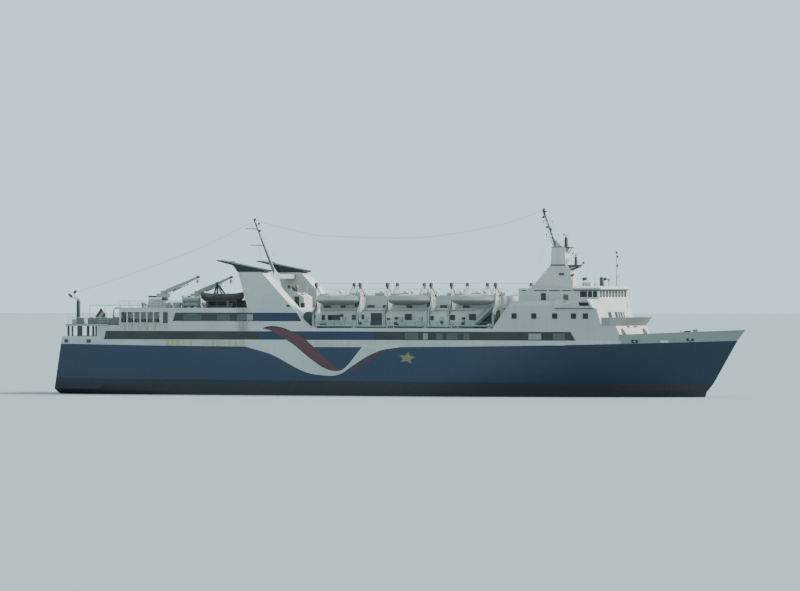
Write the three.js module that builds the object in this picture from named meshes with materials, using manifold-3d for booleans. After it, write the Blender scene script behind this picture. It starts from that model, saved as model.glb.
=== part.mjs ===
// A ro-ro passenger ship as a 1:10 model: hull with a hollow vehicle deck, stern ramp, twin screws and
// rudders, deckhouses, wheelhouse, funnels, masts, deck cranes and lifeboats in davits.
// Sizes and places are the real ship's metres, with heights from the load waterline. The ship floats light,
// so piece() lifts it, and turns metres into the model's millimetres.
// Origin on the water, on the centreline, amidships. +X to the bow, +Y to port, +Z up.
import * as THREE from 'three';
import { mergeVertices } from 'three/addons/utils/BufferGeometryUtils.js';
import Module from 'manifold-3d';

const wasm = await Module();
wasm.setup();

// Driving dimensions, in metres of the real ship
const MODEL_MM_PER_M = 100;
const LIGHT_SHIP_RISE = 0.8; // height of the load waterline above the water
const GAP = 0.003; // between pieces that rest on each other
const PIN_PLAY = 0.006; // between the radius of a pin and of its hole
const PIN_SIDES = 16;
const HALF_BEAM = 8.8;
const KEEL_Z = -5.0;
const CAR_DECK_Z = 1.6; // underside of the side casings
const FLOOR_PLATE = 0.03; // height of the vehicle deck's plating over that
const DECK_B_Z = 7.0;
const FOREDECK_Z = 7.7;
const DECK_C_Z = 9.95;
const BOAT_RECESS_Z = 9.55; // deck C beside the lifeboats, a step lower
const DECK_D_Z = 12.65;
const ROOF_Z = 15.65;
const TRANSOM_X = -53.6;
const FRONT_X = 38.2; // foot of the lowest house front
const BRIDGE_FRONT = { footX: 35.45, topX: 34.75 }; // it leans back between deck C and deck D
const SIDES = [['starboard', -1], ['port', 1]];

// Vehicle deck
const HOLD = { aftX: TRANSOM_X, foreX: 20, halfWidth: 7.0, topZ: 6.55 };
const DOORWAY = { halfWidth: 6.1, topZ: 6.1 };

// Materials: name, colour, roughness, metalness
const PAINTS = {
  hullBlue: [0x24405f, 0.45, 0.1],
  underwater: [0x5a2f2b, 0.7, 0.0],
  white: [0xc9ced2, 0.5, 0.05],
  deckGreen: [0x5d6d66, 0.8, 0.0],
  dark: [0x1f2a33, 0.5, 0.2],
  bronze: [0x9a7b3c, 0.35, 0.9],
  grey: [0x8d969b, 0.6, 0.2],
  brown: [0x4a3b35, 0.7, 0.0],
};

const ship = new THREE.Group();

function paint(name) {
  const [color, roughness, metalness] = PAINTS[name];
  return new THREE.MeshStandardMaterial({ color, roughness, metalness });
}

function piece(name, geometry, paintName) {
  const scaled = geometry.clone().translate(0, 0, LIGHT_SHIP_RISE);
  scaled.scale(MODEL_MM_PER_M, MODEL_MM_PER_M, MODEL_MM_PER_M);
  const mesh = new THREE.Mesh(scaled, paint(paintName));
  mesh.name = name;
  ship.add(mesh);
}

// Solids

function toSolid(geometry) {
  const bare = geometry.clone();
  bare.deleteAttribute('normal');
  bare.deleteAttribute('uv');
  const merged = mergeVertices(bare, 1e-5);
  return new wasm.Manifold(new wasm.Mesh({
    numProp: 3,
    vertProperties: new Float32Array(merged.attributes.position.array),
    triVerts: new Uint32Array(merged.index.array),
  }));
}

function toGeometry(solid) {
  const mesh = solid.getMesh();
  const geometry = new THREE.BufferGeometry();
  geometry.setAttribute('position', new THREE.BufferAttribute(new Float32Array(mesh.vertProperties), 3));
  geometry.setIndex(new THREE.BufferAttribute(new Uint32Array(mesh.triVerts), 1));
  return geometry;
}

function join(...parts) {
  const [first, ...others] = parts.map(toSolid);
  return toGeometry(others.reduce((whole, part) => whole.add(part), first));
}

function cut(body, ...tools) {
  return toGeometry(tools.map(toSolid).reduce((rest, tool) => rest.subtract(tool), toSolid(body)));
}

function common(body, region) {
  return toGeometry(toSolid(body).intersect(toSolid(region)));
}

function box([x0, x1], [y0, y1], [z0, z1]) {
  const geometry = new THREE.BoxGeometry(x1 - x0, y1 - y0, z1 - z0);
  return geometry.translate((x0 + x1) / 2, (y0 + y1) / 2, (z0 + z1) / 2);
}

// A stretch of Y on one side, from |Y| = inner to |Y| = outer
function onSide(side, inner, outer) {
  return side > 0 ? [inner, outer] : [-outer, -inner];
}

const AXES = {
  X: new THREE.Vector3(1, 0, 0),
  Y: new THREE.Vector3(0, 1, 0),
  Z: new THREE.Vector3(0, 0, 1),
  minusY: new THREE.Vector3(0, -1, 0),
};
const PLANES = {
  XY: [AXES.X, AXES.Y, AXES.Z],
  XZ: [AXES.X, AXES.Z, AXES.minusY],
  YZ: [AXES.Y, AXES.Z, AXES.X],
};

// An outline in one plane, extruded from low to high along the third axis
function prism(plane, outline, [low, high]) {
  const shape = new THREE.Shape(outline.map(([a, b]) => new THREE.Vector2(a, b)));
  const geometry = new THREE.ExtrudeGeometry(shape, { depth: high - low, bevelEnabled: false });
  geometry.translate(0, 0, plane === 'XZ' ? -high : low);
  return geometry.applyMatrix4(new THREE.Matrix4().makeBasis(...PLANES[plane]));
}

function rod(from, to, radius, sides = 12, endRadius = radius) {
  const a = new THREE.Vector3(...from);
  const b = new THREE.Vector3(...to);
  const along = b.clone().sub(a);
  const geometry = new THREE.CylinderGeometry(endRadius, radius, along.length(), sides);
  const turn = new THREE.Quaternion().setFromUnitVectors(AXES.Y, along.clone().normalize());
  const middle = a.add(b).multiplyScalar(0.5);
  return geometry.applyQuaternion(turn).translate(middle.x, middle.y, middle.z);
}

// The outline of a bar of one width that follows a bent centreline
function ribbon(centreline, width) {
  const points = centreline.map(([a, b]) => new THREE.Vector2(a, b));
  const normals = points.slice(1).map((point, i) => {
    const along = point.clone().sub(points[i]).normalize();
    return new THREE.Vector2(-along.y, along.x);
  });
  const offset = (i, sign) => {
    const before = normals[Math.max(i - 1, 0)];
    const after = normals[Math.min(i, normals.length - 1)];
    const mitre = before.clone().add(after).normalize();
    const reach = width / 2 / mitre.dot(after);
    return points[i].clone().addScaledVector(mitre, sign * reach).toArray();
  };
  const left = points.map((_, i) => offset(i, 1));
  const right = points.map((_, i) => offset(i, -1)).reverse();
  return [...left, ...right];
}

// A bent line with each inner corner turned into a curve that starts `reach` before it
function rounded(line, reach, steps = 4) {
  const points = line.map(([a, b]) => new THREE.Vector2(a, b));
  const corners = points.slice(1, -1).flatMap((corner, i) => {
    const toward = (other) => {
      const share = Math.min(reach / corner.distanceTo(other), 0.48);
      return corner.clone().lerp(other, share);
    };
    return new THREE.QuadraticBezierCurve(toward(points[i]), corner, toward(points[i + 2])).getPoints(steps);
  });
  return [line[0], ...corners.map((point) => point.toArray()), line[line.length - 1]];
}

// A closed skin over rings of points, with a flat fan over the first and last ring
function loft(rings) {
  const size = rings[0].length;
  const vertices = rings.flat();
  const faces = [];
  for (let r = 0; r + 1 < rings.length; r += 1) {
    for (let i = 0; i < size; i += 1) {
      const next = (i + 1) % size;
      const [a, b] = [r * size + i, r * size + next];
      const [c, d] = [a + size, b + size];
      faces.push([a, b, d], [a, d, c]);
    }
  }
  const ends = [[rings[0], 0, 1], [rings[rings.length - 1], (rings.length - 1) * size, -1]];
  for (const [ring, start, turn] of ends) {
    const centre = [0, 1, 2].map((k) => ring.reduce((sum, point) => sum + point[k], 0) / size);
    const hub = vertices.push(centre) - 1;
    for (let i = 0; i < size; i += 1) {
      const edge = [start + i, start + ((i + 1) % size)];
      faces.push(turn > 0 ? [edge[1], edge[0], hub] : [edge[0], edge[1], hub]);
    }
  }
  const geometry = new THREE.BufferGeometry();
  geometry.setAttribute('position', new THREE.Float32BufferAttribute(vertices.flat(), 3));
  const outward = signedVolume(vertices, faces) > 0;
  geometry.setIndex(faces.map((face) => (outward ? face : [...face].reverse())).flat());
  return geometry;
}

function signedVolume(vertices, faces) {
  const corner = (i) => new THREE.Vector3(...vertices[i]);
  return faces.reduce((sum, [a, b, c]) => sum + corner(a).dot(corner(b).cross(corner(c))), 0) / 6;
}

// Value at key in a table of [key, value] rows, straight between rows
function between(table, key) {
  const last = table.length - 1;
  const next = table.findIndex(([k]) => k >= key);
  if (next === 0) return table[0][1];
  if (next < 0) return table[last][1];
  const [[k0, v0], [k1, v1]] = [table[next - 1], table[next]];
  return v0 + ((v1 - v0) * (key - k0)) / (k1 - k0);
}

// Hull form. Each table has rows of [height Z, value at that height]
const STEM_X = [[-5, 45.6], [-4, 47.7], [-2.5, 48.9], [0, 49.8], [1.3, 50.9], [7.6, 54.6], [9.4, 56.0]];
const ENTRY_START_X = [[-5, -4], [0, 6], [7, 18], [9.4, 19]];
const ENTRY_POWER = [[-5, 1.7], [0, 1.75], [7, 2.3], [9.4, 2.35]];
const HALF_WIDTH = [[-5, 7.0], [-4.9, 7.9], [-4.5, 8.4], [-3.8, 8.7], [-3, HALF_BEAM]];
const STERN_X = [[-5, -37], [-1.2, -55.6], [0, -55.94], [7.13, -54.46], [9.4, -54.0]];
const RUN_START_X = [[-5, -14], [-1, -24], [0, -35], [9.4, -40]];
const STERN_HALF_WIDTH = [[-5, 0.3], [-3, 0.3], [-1.8, 1.2], [-1.2, 4.2], [-0.6, 6.9], [0, 7.9], [7, 8.6]];
const RUN_POWER = 3;
const HULL_STATIONS = 32;
const HULL_LEVELS = [-5, -4.9, -4.5, -3.8, -3, -2, -1.2, -0.6, 0, 1.3, 3.5, 5.5, DECK_B_Z, FOREDECK_Z];

function halfWidth(x, z) {
  const widest = between(HALF_WIDTH, z);
  const entryX = between(ENTRY_START_X, z);
  const runX = between(RUN_START_X, z);
  if (x > entryX) {
    const t = (x - entryX) / (between(STEM_X, z) - entryX);
    return widest * (1 - Math.min(t, 1) ** between(ENTRY_POWER, z));
  }
  if (x < runX) {
    const t = Math.min((runX - x) / (runX - between(STERN_X, z)), 1);
    const sternWidth = between(STERN_HALF_WIDTH, z);
    return sternWidth + (widest - sternWidth) * (1 - t ** RUN_POWER);
  }
  return widest;
}

// The waterline at one height: starboard side from the stern to the stem, then the port side back
function waterline(z, inset = 0) {
  const sternX = between(STERN_X, z) + inset;
  const length = between(STEM_X, z) - 2 * inset - sternX;
  const starboard = [];
  for (let i = 0; i < HULL_STATIONS; i += 1) {
    const x = sternX + length * (0.5 - 0.5 * Math.cos((Math.PI * i) / HULL_STATIONS));
    const stretched = x + (i / HULL_STATIONS) * 2 * inset;
    starboard.push([x, Math.max(halfWidth(stretched, z) - inset, 0.02), z]);
  }
  const port = [...starboard].reverse();
  return [...starboard.map(([x, y]) => [x, -y, z]), [sternX + length, 0, z], ...port];
}

function hullForm(levels, inset = 0) {
  return loft(levels.map((z) => waterline(z, inset)));
}

// Plan of a deckhouse whose sides follow the hull's side at deck B
function sidePlan(aftX, foreX, steps, inset = 0) {
  const xs = Array.from({ length: steps + 1 }, (_, i) => aftX + ((foreX - aftX) * i) / steps);
  const starboard = xs.map((x) => [x, inset - halfWidth(x, DECK_B_Z)]);
  return [...starboard, ...[...starboard].reverse().map(([x, y]) => [x, -y])];
}

const FAR = 60;
const WIDE = [-FAR, FAR];
const hull = hullForm(HULL_LEVELS);

// Shaft line, propeller and rudder on each side
const SHAFT = { y: 3.6, z: -3.45, radius: 0.22, startX: -36, endX: -48.9 };
const PROPELLER = { radius: 1.35, hubRadius: 0.34, hubLength: 0.9, blades: 4 };
const RUDDER = { stockX: -52.3, foreX: -51.35, aftX: -53.9, topZ: -2.02, bottomZ: -4.7, thick: 0.36 };
const TRUNK_Z = -1.95;

function shaftAndBracket(side) {
  const y = side * SHAFT.y;
  const bossX = SHAFT.endX + 0.6;
  const shaft = rod([SHAFT.startX, y, SHAFT.z], [SHAFT.endX, y, SHAFT.z], SHAFT.radius, 16);
  const boss = rod([bossX + 0.5, y, SHAFT.z], [bossX - 0.5, y, SHAFT.z], 0.34, 16);
  const strut = (topY) => {
    const outline = ribbon([[y, SHAFT.z], [topY, -1.0]], 0.22);
    return prism('YZ', outline, [bossX - 0.35, bossX + 0.35]);
  };
  const trunk = box([RUDDER.stockX - 0.55, RUDDER.stockX + 0.55], onSide(side, SHAFT.y - 0.35, SHAFT.y + 0.35),
    [TRUNK_Z, -0.3]);
  return join(shaft, boss, strut(y - side * 1.4), strut(y + side * 0.7), trunk);
}

function rudderBearing(side) {
  const y = side * SHAFT.y;
  return rod([RUDDER.stockX, y, TRUNK_Z - 0.1], [RUDDER.stockX, y, TRUNK_Z + 0.5], 0.16, 16);
}

function hullBottom() {
  const lower = common(hull, box(WIDE, WIDE, [-10, CAR_DECK_Z]));
  const skegOutline = [[-34, KEEL_Z], [-49.5, KEEL_Z + 0.5], [-50.5, -3.2], [-51.0, -1.0], [-34, -2.5]];
  const skeg = prism('XZ', skegOutline, [-0.28, 0.28]);
  const bulb = new THREE.SphereGeometry(1, 18, 12).scale(3.6, 1.15, 1.35).translate(48.3, 0, -3.3);
  const inside = HOLD.halfWidth - 0.02;
  const floor = box([HOLD.aftX + 0.3, HOLD.foreX - 0.02], [-inside, inside], [1, CAR_DECK_Z + FLOOR_PLATE]);
  const whole = join(lower, floor, skeg, bulb, ...SIDES.map(([, side]) => shaftAndBracket(side)));
  return cut(whole, ...SIDES.map(([, side]) => rudderBearing(side)));
}

function propeller(side) {
  const y = side * SHAFT.y;
  const aftX = SHAFT.endX - GAP - PROPELLER.hubLength;
  const parts = [rod([SHAFT.endX - GAP, y, SHAFT.z], [aftX, y, SHAFT.z], PROPELLER.hubRadius, 20, 0.2)];
  for (let i = 0; i < PROPELLER.blades; i += 1) {
    const blade = new THREE.CylinderGeometry(1, 1, 0.09, 16).rotateX(Math.PI / 2);
    blade.scale(0.46, 0.62, 1).rotateY(Math.PI / 2 - side * 0.62);
    blade.translate(0, PROPELLER.radius - 0.62, 0).rotateX((2 * Math.PI * i) / PROPELLER.blades + 0.3);
    parts.push(blade.translate(SHAFT.endX - 0.42, y, SHAFT.z));
  }
  return join(...parts);
}

function rudder(side) {
  const y = side * SHAFT.y;
  const { stockX, foreX, aftX, topZ, bottomZ, thick } = RUDDER;
  const half = thick / 2;
  const plan = [[foreX, y], [foreX - 0.2, y - half * 0.8], [stockX, y - half], [aftX, y - 0.04],
    [aftX, y + 0.04], [stockX, y + half], [foreX - 0.2, y + half * 0.8]];
  const blade = prism('XY', plan, [bottomZ, topZ]);
  return join(blade, rod([stockX, y, topZ - 0.1], [stockX, y, TRUNK_Z + 0.45], 0.155, 16));
}

piece('hull_bottom', hullBottom(), 'underwater');
for (const [name, side] of SIDES) {
  const shell = box([HOLD.aftX, HOLD.foreX], onSide(side, HOLD.halfWidth, FAR), [CAR_DECK_Z + GAP, HOLD.topZ]);
  piece(`hull_side_${name}`, common(hull, shell), 'hullBlue');
  piece(`propeller_${name}`, propeller(side), 'bronze');
  piece(`rudder_${name}`, rudder(side), 'underwater');
}

const bowRegion = box([HOLD.foreX + GAP, FAR], WIDE, [CAR_DECK_Z + GAP, FOREDECK_Z]);
const underHouses = box([0, FRONT_X + GAP], WIDE, [DECK_B_Z, 20]);
piece('hull_bow', cut(common(hull, bowRegion), underHouses), 'hullBlue');
const deckRegion = box([HOLD.aftX, HOLD.foreX], WIDE, [HOLD.topZ + GAP, DECK_B_Z]);
piece('main_deck', common(hull, deckRegion), 'hullBlue');

// Stern ramp: a door in the sloping transom, hinged at its foot in the jambs
const RAMP = { halfWidth: 5.95, thick: 0.32, pivotX: -55.3, pivotZ: 1.87, topZ: 6.0, pinRadius: 0.1 };
const TRANSOM_SLOPE = (54.46 - 55.94) / -7.13; // X gained for each metre up

function sternFrame() {
  const region = box([-FAR, HOLD.aftX - GAP], WIDE, [CAR_DECK_Z + GAP, DECK_B_Z]);
  const doorway = box([-FAR, 0], [-DOORWAY.halfWidth, DOORWAY.halfWidth], [0, DOORWAY.topZ]);
  const pinHole = rod([RAMP.pivotX, -6.4, RAMP.pivotZ], [RAMP.pivotX, 6.4, RAMP.pivotZ],
    RAMP.pinRadius + PIN_PLAY, PIN_SIDES);
  return cut(common(hull, region), doorway, pinHole);
}

function sternRamp() {
  const half = RAMP.thick / 2;
  const lean = (z) => RAMP.pivotX + TRANSOM_SLOPE * (z - RAMP.pivotZ);
  const outline = [[lean(RAMP.pivotZ) - half, RAMP.pivotZ], [lean(RAMP.topZ) - half, RAMP.topZ],
    [lean(RAMP.topZ) + half, RAMP.topZ], [lean(RAMP.pivotZ) + half, RAMP.pivotZ]];
  const leaf = prism('XZ', outline, [-RAMP.halfWidth, RAMP.halfWidth]);
  const { pivotX, pivotZ } = RAMP;
  const knuckle = rod([pivotX, -RAMP.halfWidth, pivotZ], [pivotX, RAMP.halfWidth, pivotZ], half, 16);
  const pin = rod([pivotX, -6.3, pivotZ], [pivotX, 6.3, pivotZ], RAMP.pinRadius, PIN_SIDES);
  return join(leaf, knuckle, pin);
}

piece('hull_stern', sternFrame(), 'hullBlue');
piece('stern_ramp', sternRamp(), 'hullBlue');

// Bulwark round the foredeck
function bowBulwark() {
  const levels = [FOREDECK_Z + GAP, 8.6, 9.4];
  const inner = hullForm([FOREDECK_Z - 0.5, 8.6, 9.9], 0.16);
  const side = [[FRONT_X + GAP, 7], [57, 7], [57, 9.39], [55.9, 9.37], [FRONT_X + GAP, 8.66]];
  return common(cut(hullForm(levels), inner), prism('XZ', side, WIDE));
}

piece('bow_bulwark', bowBulwark(), 'hullBlue');

// Open mooring deck under deck C at the stern
const MOORING = { foreX: -46.2, railZ: 8.2, roofZ: 9.8, wall: 0.2 };
const MOORING_POSTS = [ // X of each side pillar, width along X
  [-53.2, 0.25], [-52.5, 0.25], [-51.2, 0.75], [-49.75, 0.35], [-48.85, 0.25], [-48.3, 0.25],
];

function mooringFrame() {
  const levels = [DECK_B_Z + GAP, MOORING.railZ];
  const ring = cut(hullForm(levels), hullForm([6, 9], MOORING.wall));
  const rails = common(ring, box([-FAR, MOORING.foreX - GAP], WIDE, [6, 9]));
  const posts = [];
  for (const [x, width] of MOORING_POSTS) {
    for (const [, side] of SIDES) {
      const outer = halfWidth(x, MOORING.railZ) - 0.02;
      const across = onSide(side, outer - MOORING.wall, outer);
      posts.push(box([x - width / 2, x + width / 2], across, [DECK_B_Z + 0.5, MOORING.roofZ]));
    }
  }
  return join(rails, ...posts);
}

// Open deck over it, with a low windbreak on each side that runs a little over the next house
const DECK_C_SCREENS = [ // X and Z outline, in the side view
  [[-51.8, 10.0], [-50.4, 10.0], [-50.6, 11.04], [-51.8, 11.04]],
  [[-49.9, 10.0], [-44.9, 10.0], [-44.5, 11.04], [-49.9, 11.04]],
];
function aftDeckC() {
  const slab = prism('XY', sidePlan(-53.65, MOORING.foreX - GAP, 4), [MOORING.roofZ + GAP, 10.1]);
  const screens = DECK_C_SCREENS.flatMap((outline) => SIDES.map(
    ([, side]) => prism('XZ', outline, onSide(side, 8.25, 8.5))));
  return join(slab, ...screens);
}

piece('mooring_deck_frame', mooringFrame(), 'white');
piece('aft_deck_c', aftDeckC(), 'deckGreen');

// Lifeboat stations: X of the two davit arms
const BOAT_STATIONS = [[-11.4, -4.0], [0.49, 7.78], [11.08, 18.4]];
const DAVIT = {
  footY: 8.35, footZ: 9.9, headY: 7.3, headZ: 16.05, armThick: 0.24, width: 0.28,
  tubeRadius: 0.13, footInset: 0.5, pinRadius: 0.06, bend: 0.6,
};
const DAVIT_LINE = [ // |Y|, Z from the foot to the head
  [DAVIT.footY, DAVIT.footZ], [8.45, 11.7], [5.78, 13.0], [5.78, 15.0], [DAVIT.headY, DAVIT.headZ],
];

function davitFeet() {
  const feet = [];
  const places = BOAT_STATIONS.flatMap(([x0, x1]) => [x0 + DAVIT.footInset, x1 - DAVIT.footInset]);
  for (const [, side] of SIDES) {
    for (const x of places) {
      const foot = box([x - 0.13, x + 0.13], onSide(side, DAVIT.footY - 0.28, DAVIT.footY + 0.28),
        [BOAT_RECESS_Z - 0.2, DAVIT.footZ + 0.26]);
      const y = side * DAVIT.footY;
      feet.push(cut(foot, rod([x - 1, y, DAVIT.footZ], [x + 1, y, DAVIT.footZ],
        DAVIT.tubeRadius + PIN_PLAY, PIN_SIDES)));
    }
  }
  return feet;
}

const SLOPE = { topX: -20.12, topZ: 18.3, footX: -12.12, footZ: 10.02 }; // forward face of the funnels
const SLOPE_RUN = (SLOPE.footX - SLOPE.topX) / (SLOPE.topZ - SLOPE.footZ); // X lost for each metre up
const FORWARD_HOUSE = { footX: 18.71, topX: 21.49, railZ: 13.7, wingX: 28.3, railThick: 0.15 };

function slopeX(z) {
  return SLOPE.footX - (z - SLOPE.footZ) * SLOPE_RUN;
}

// The lifeboat recess lies between the funnels' slope and the forward house
const RECESS_X = [slopeX(BOAT_RECESS_Z), FORWARD_HOUSE.footX - 0.3];
const LOWER_FRONT = { bendZ: 8.7, topX: 37.6 }; // the front leans back above bendZ
function lowerHouse() {
  const [recessAftX, recessForeX] = RECESS_X;
  const profile = [[MOORING.foreX, DECK_B_Z], [FRONT_X, DECK_B_Z], [FRONT_X, LOWER_FRONT.bendZ],
    [LOWER_FRONT.topX, DECK_C_Z], [FORWARD_HOUSE.footX, DECK_C_Z], [recessForeX, BOAT_RECESS_Z],
    [recessAftX, BOAT_RECESS_Z], [slopeX(DECK_C_Z), DECK_C_Z], [MOORING.foreX, DECK_C_Z]];
  const walls = prism('XY', sidePlan(MOORING.foreX, FRONT_X, 20), [DECK_B_Z + GAP, DECK_C_Z]);
  return join(common(walls, prism('XZ', profile, WIDE)), ...davitFeet());
}

piece('lower_house', lowerHouse(), 'white');

// Houses between deck C and deck D
const PROMENADE = { aftX: -44.3, foreX: -37.2, halfWidth: 6.6, sillZ: 10.35, headZ: 12.0, openings: 6 };
const INNER_HALF_WIDTH = 5.2; // of the house behind the lifeboats
const HOUSE_BASE_Z = DECK_C_Z + GAP;

function upperHouseAft() {
  const profile = [[PROMENADE.foreX, HOUSE_BASE_Z], [slopeX(HOUSE_BASE_Z), HOUSE_BASE_Z],
    [slopeX(DECK_D_Z), DECK_D_Z], [PROMENADE.foreX, DECK_D_Z]];
  const full = prism('XZ', profile, [-HALF_BEAM, HALF_BEAM]);
  const narrow = box([PROMENADE.aftX, PROMENADE.foreX + 0.1],
    [-PROMENADE.halfWidth, PROMENADE.halfWidth], [HOUSE_BASE_Z, DECK_D_Z]);
  return join(full, narrow);
}

function promenadeScreen(side) {
  const { aftX, foreX, halfWidth: inner, sillZ, headZ, openings } = PROMENADE;
  const endX = foreX - GAP;
  const plate = box([aftX, endX], onSide(side, HALF_BEAM - 0.16, HALF_BEAM - 0.01), [HOUSE_BASE_Z, DECK_D_Z]);
  const roof = box([aftX, endX], onSide(side, inner + GAP, HALF_BEAM - 0.1), [DECK_D_Z - 0.25, DECK_D_Z]);
  const pitch = (endX - aftX - 0.3) / openings;
  const holes = Array.from({ length: openings }, (_, i) => {
    const x = aftX + 0.35 + pitch * i;
    return box([x, x + pitch - 0.22], onSide(side, 8, 9), [sillZ, headZ]);
  });
  return cut(join(plate, roof), ...holes);
}

function upperHouseForward() {
  const { footX, topX, railZ, wingX, railThick } = FORWARD_HOUSE;
  const plan = prism('XY', sidePlan(footX - 0.2, BRIDGE_FRONT.footX, 12), [HOUSE_BASE_Z, railZ]);
  const profile = [[footX, HOUSE_BASE_Z], [BRIDGE_FRONT.footX, HOUSE_BASE_Z], [BRIDGE_FRONT.topX, DECK_D_Z],
    [wingX, DECK_D_Z], [wingX, railZ], [topX, railZ]];
  const well = prism('XY', sidePlan(footX - 1, wingX + 1, 12, railThick), [DECK_D_Z, 14]);
  return cut(common(plan, prism('XZ', profile, WIDE)), well);
}

piece('upper_house_aft', upperHouseAft(), 'white');
for (const [name, side] of SIDES) {
  piece(`promenade_screen_${name}`, promenadeScreen(side), 'white');
}
const innerHouse = box([RECESS_X[0] + GAP * 2, RECESS_X[1] - GAP * 2],
  [-INNER_HALF_WIDTH, INNER_HALF_WIDTH], [BOAT_RECESS_Z + GAP, DECK_D_Z]);
piece('upper_house_inner', innerHouse, 'white');
piece('upper_house_forward', upperHouseForward(), 'white');

// Windbreak round the front of deck C: its sides are flush with the ship's side, its front flares forward
const WINDBREAK = {
  footX: 37.55, footHalfWidth: 6.5, sideX: 36.8, topX: 38.75, topHalfWidth: 5.9, topZ: 11.25, thick: 0.16,
};
function windbreakForm(z, inset) {
  const { footX, footHalfWidth, sideX, topX, topHalfWidth, topZ } = WINDBREAK;
  const share = (z - HOUSE_BASE_Z) / (topZ - HOUSE_BASE_Z);
  const foreX = footX + share * (topX - footX) - inset;
  const foreHalf = footHalfWidth + share * (topHalfWidth - footHalfWidth) - inset;
  const aftX = BRIDGE_FRONT.footX + 0.03 - inset;
  const atSide = (x) => [x, halfWidth(x, DECK_B_Z) - inset];
  const port = [[foreX, foreHalf], atSide(sideX), atSide(aftX)];
  const starboard = [...port].reverse().map(([x, y]) => [x, -y]);
  return [...port, ...starboard].map(([x, y]) => [x, y, z]);
}

function frontBulwark() {
  const { topZ, thick } = WINDBREAK;
  const outer = loft([windbreakForm(HOUSE_BASE_Z, 0), windbreakForm(topZ, 0)]);
  const inner = loft([windbreakForm(HOUSE_BASE_Z - 0.2, thick), windbreakForm(topZ + 0.2, thick)]);
  return cut(outer, inner);
}

piece('front_bulwark', frontBulwark(), 'white');

// Deck D: houses, bridge wings and wheelhouse
const D_BASE_Z = DECK_D_Z + GAP;
const TOP_HOUSE = { aftX: 21.6, foreX: 30.5, halfWidth: 6.0 };
const BOAT_DECK_HOUSE = { aftX: -11.0, halfWidth: 4.8, topZ: 14.5 };
const WING = { inner: 6.2 + GAP, topZ: 14.0, wall: 0.2 };
const WING_PLAN = [ // X and |Y| of each corner at the foot, and at the top
  [[FORWARD_HOUSE.wingX + GAP, WING.inner], [28.7, WING.inner]],
  [[FORWARD_HOUSE.wingX + GAP, 8.66], [28.7, 8.9]],
  [[34.4, 7.75], [33.87, 8.9]],
  [[34.75, WING.inner], [34.6, WING.inner]],
];

const topHouse = box([TOP_HOUSE.aftX, TOP_HOUSE.foreX], [-TOP_HOUSE.halfWidth, TOP_HOUSE.halfWidth],
  [D_BASE_Z, ROOF_Z]);
piece('top_deckhouse', topHouse, 'white');
const boatDeckHouse = box([BOAT_DECK_HOUSE.aftX, FORWARD_HOUSE.footX - 0.01],
  [-BOAT_DECK_HOUSE.halfWidth, BOAT_DECK_HOUSE.halfWidth], [D_BASE_Z, BOAT_DECK_HOUSE.topZ]);
piece('boat_deck_house', boatDeckHouse, 'white');

// The wing's outline at one height, drawn in by inset on its three outer sides
function wingForm(side, z, inset) {
  const share = (z - D_BASE_Z) / (WING.topZ - D_BASE_Z);
  const drawnIn = [[inset, -1], [inset, -inset], [-inset, -inset], [-inset, -1]];
  return WING_PLAN.map(([foot, top], i) => {
    const [x, y] = [0, 1].map((k) => foot[k] + share * (top[k] - foot[k]) + (inset ? drawnIn[i][k] : 0));
    return [x, side * y, z];
  });
}

function bridgeWing(side) {
  const { topZ, wall } = WING;
  const tray = loft([wingForm(side, D_BASE_Z, 0), wingForm(side, topZ, 0)]);
  const well = loft([wingForm(side, D_BASE_Z + wall, wall), wingForm(side, topZ + 1, wall)]);
  return cut(tray, well);
}

for (const [name, side] of SIDES) {
  piece(`bridge_wing_${name}`, bridgeWing(side), 'white');
}

const WHEELHOUSE = {
  aftX: TOP_HOUSE.foreX + GAP, foreX: 34.65, halfWidth: 6.1, wall: 0.2, topZ: 15.4, sillZ: 14.3, headZ: 15.2,
};
const WHEELHOUSE_SIDE_WINDOWS = [[31.63, 32.77], [32.93, 33.58], [33.74, 34.38]]; // X
const FRONT_WINDOWS = { count: 9, pitch: 1.3, width: 1.04 };

function wheelhouseWalls() {
  const { aftX, wall, topZ, sillZ, headZ, foreX, halfWidth: half } = WHEELHOUSE;
  const { count, pitch, width } = FRONT_WINDOWS;
  const inside = half - wall;
  const outer = box([aftX, foreX], [-half, half], [D_BASE_Z, topZ]);
  const inner = box([aftX + wall, foreX - wall], [-inside, inside], [D_BASE_Z - 1, topZ + 1]);
  const frontWindows = Array.from({ length: count }, (_, i) => {
    const y = (i - (count - 1) / 2) * pitch;
    return box([foreX - 0.6, foreX + 0.6], [y - width / 2, y + width / 2], [sillZ, headZ]);
  });
  const sideWindows = SIDES.flatMap(([, side]) => WHEELHOUSE_SIDE_WINDOWS.map(
    (across) => box(across, onSide(side, half - 0.6, half + 0.6), [sillZ, headZ])));
  return cut(outer, inner, ...frontWindows, ...sideWindows);
}

piece('wheelhouse_walls', wheelhouseWalls(), 'white');
const ROOF_RIM = [[0.25, WHEELHOUSE.topZ + GAP], [0.55, 15.55], [0.5, 15.7], [-0.3, 15.98]]; // overhang, Z
const roofRings = ROOF_RIM.map(([grow, z]) => {
  const [foreX, half] = [WHEELHOUSE.foreX + grow, WHEELHOUSE.halfWidth + grow];
  return [[WHEELHOUSE.aftX, -half, z], [foreX, -half, z], [foreX, half, z], [WHEELHOUSE.aftX, half, z]];
});
piece('wheelhouse_roof', loft(roofRings), 'white');

// Funnels with their dark exhaust fins, and the mast on the beam between them
const FUNNEL = { inner: 6.2, outer: HALF_BEAM, topZ: 18.2, aftFootX: -22.3, aftTopX: -23.87 };
function funnel(side) {
  const { inner, outer, topZ, aftFootX, aftTopX } = FUNNEL;
  const profile = [[aftFootX, D_BASE_Z], [slopeX(D_BASE_Z), D_BASE_Z], [slopeX(topZ), topZ], [aftTopX, topZ]];
  return prism('XZ', profile, onSide(side, inner, outer));
}

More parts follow.
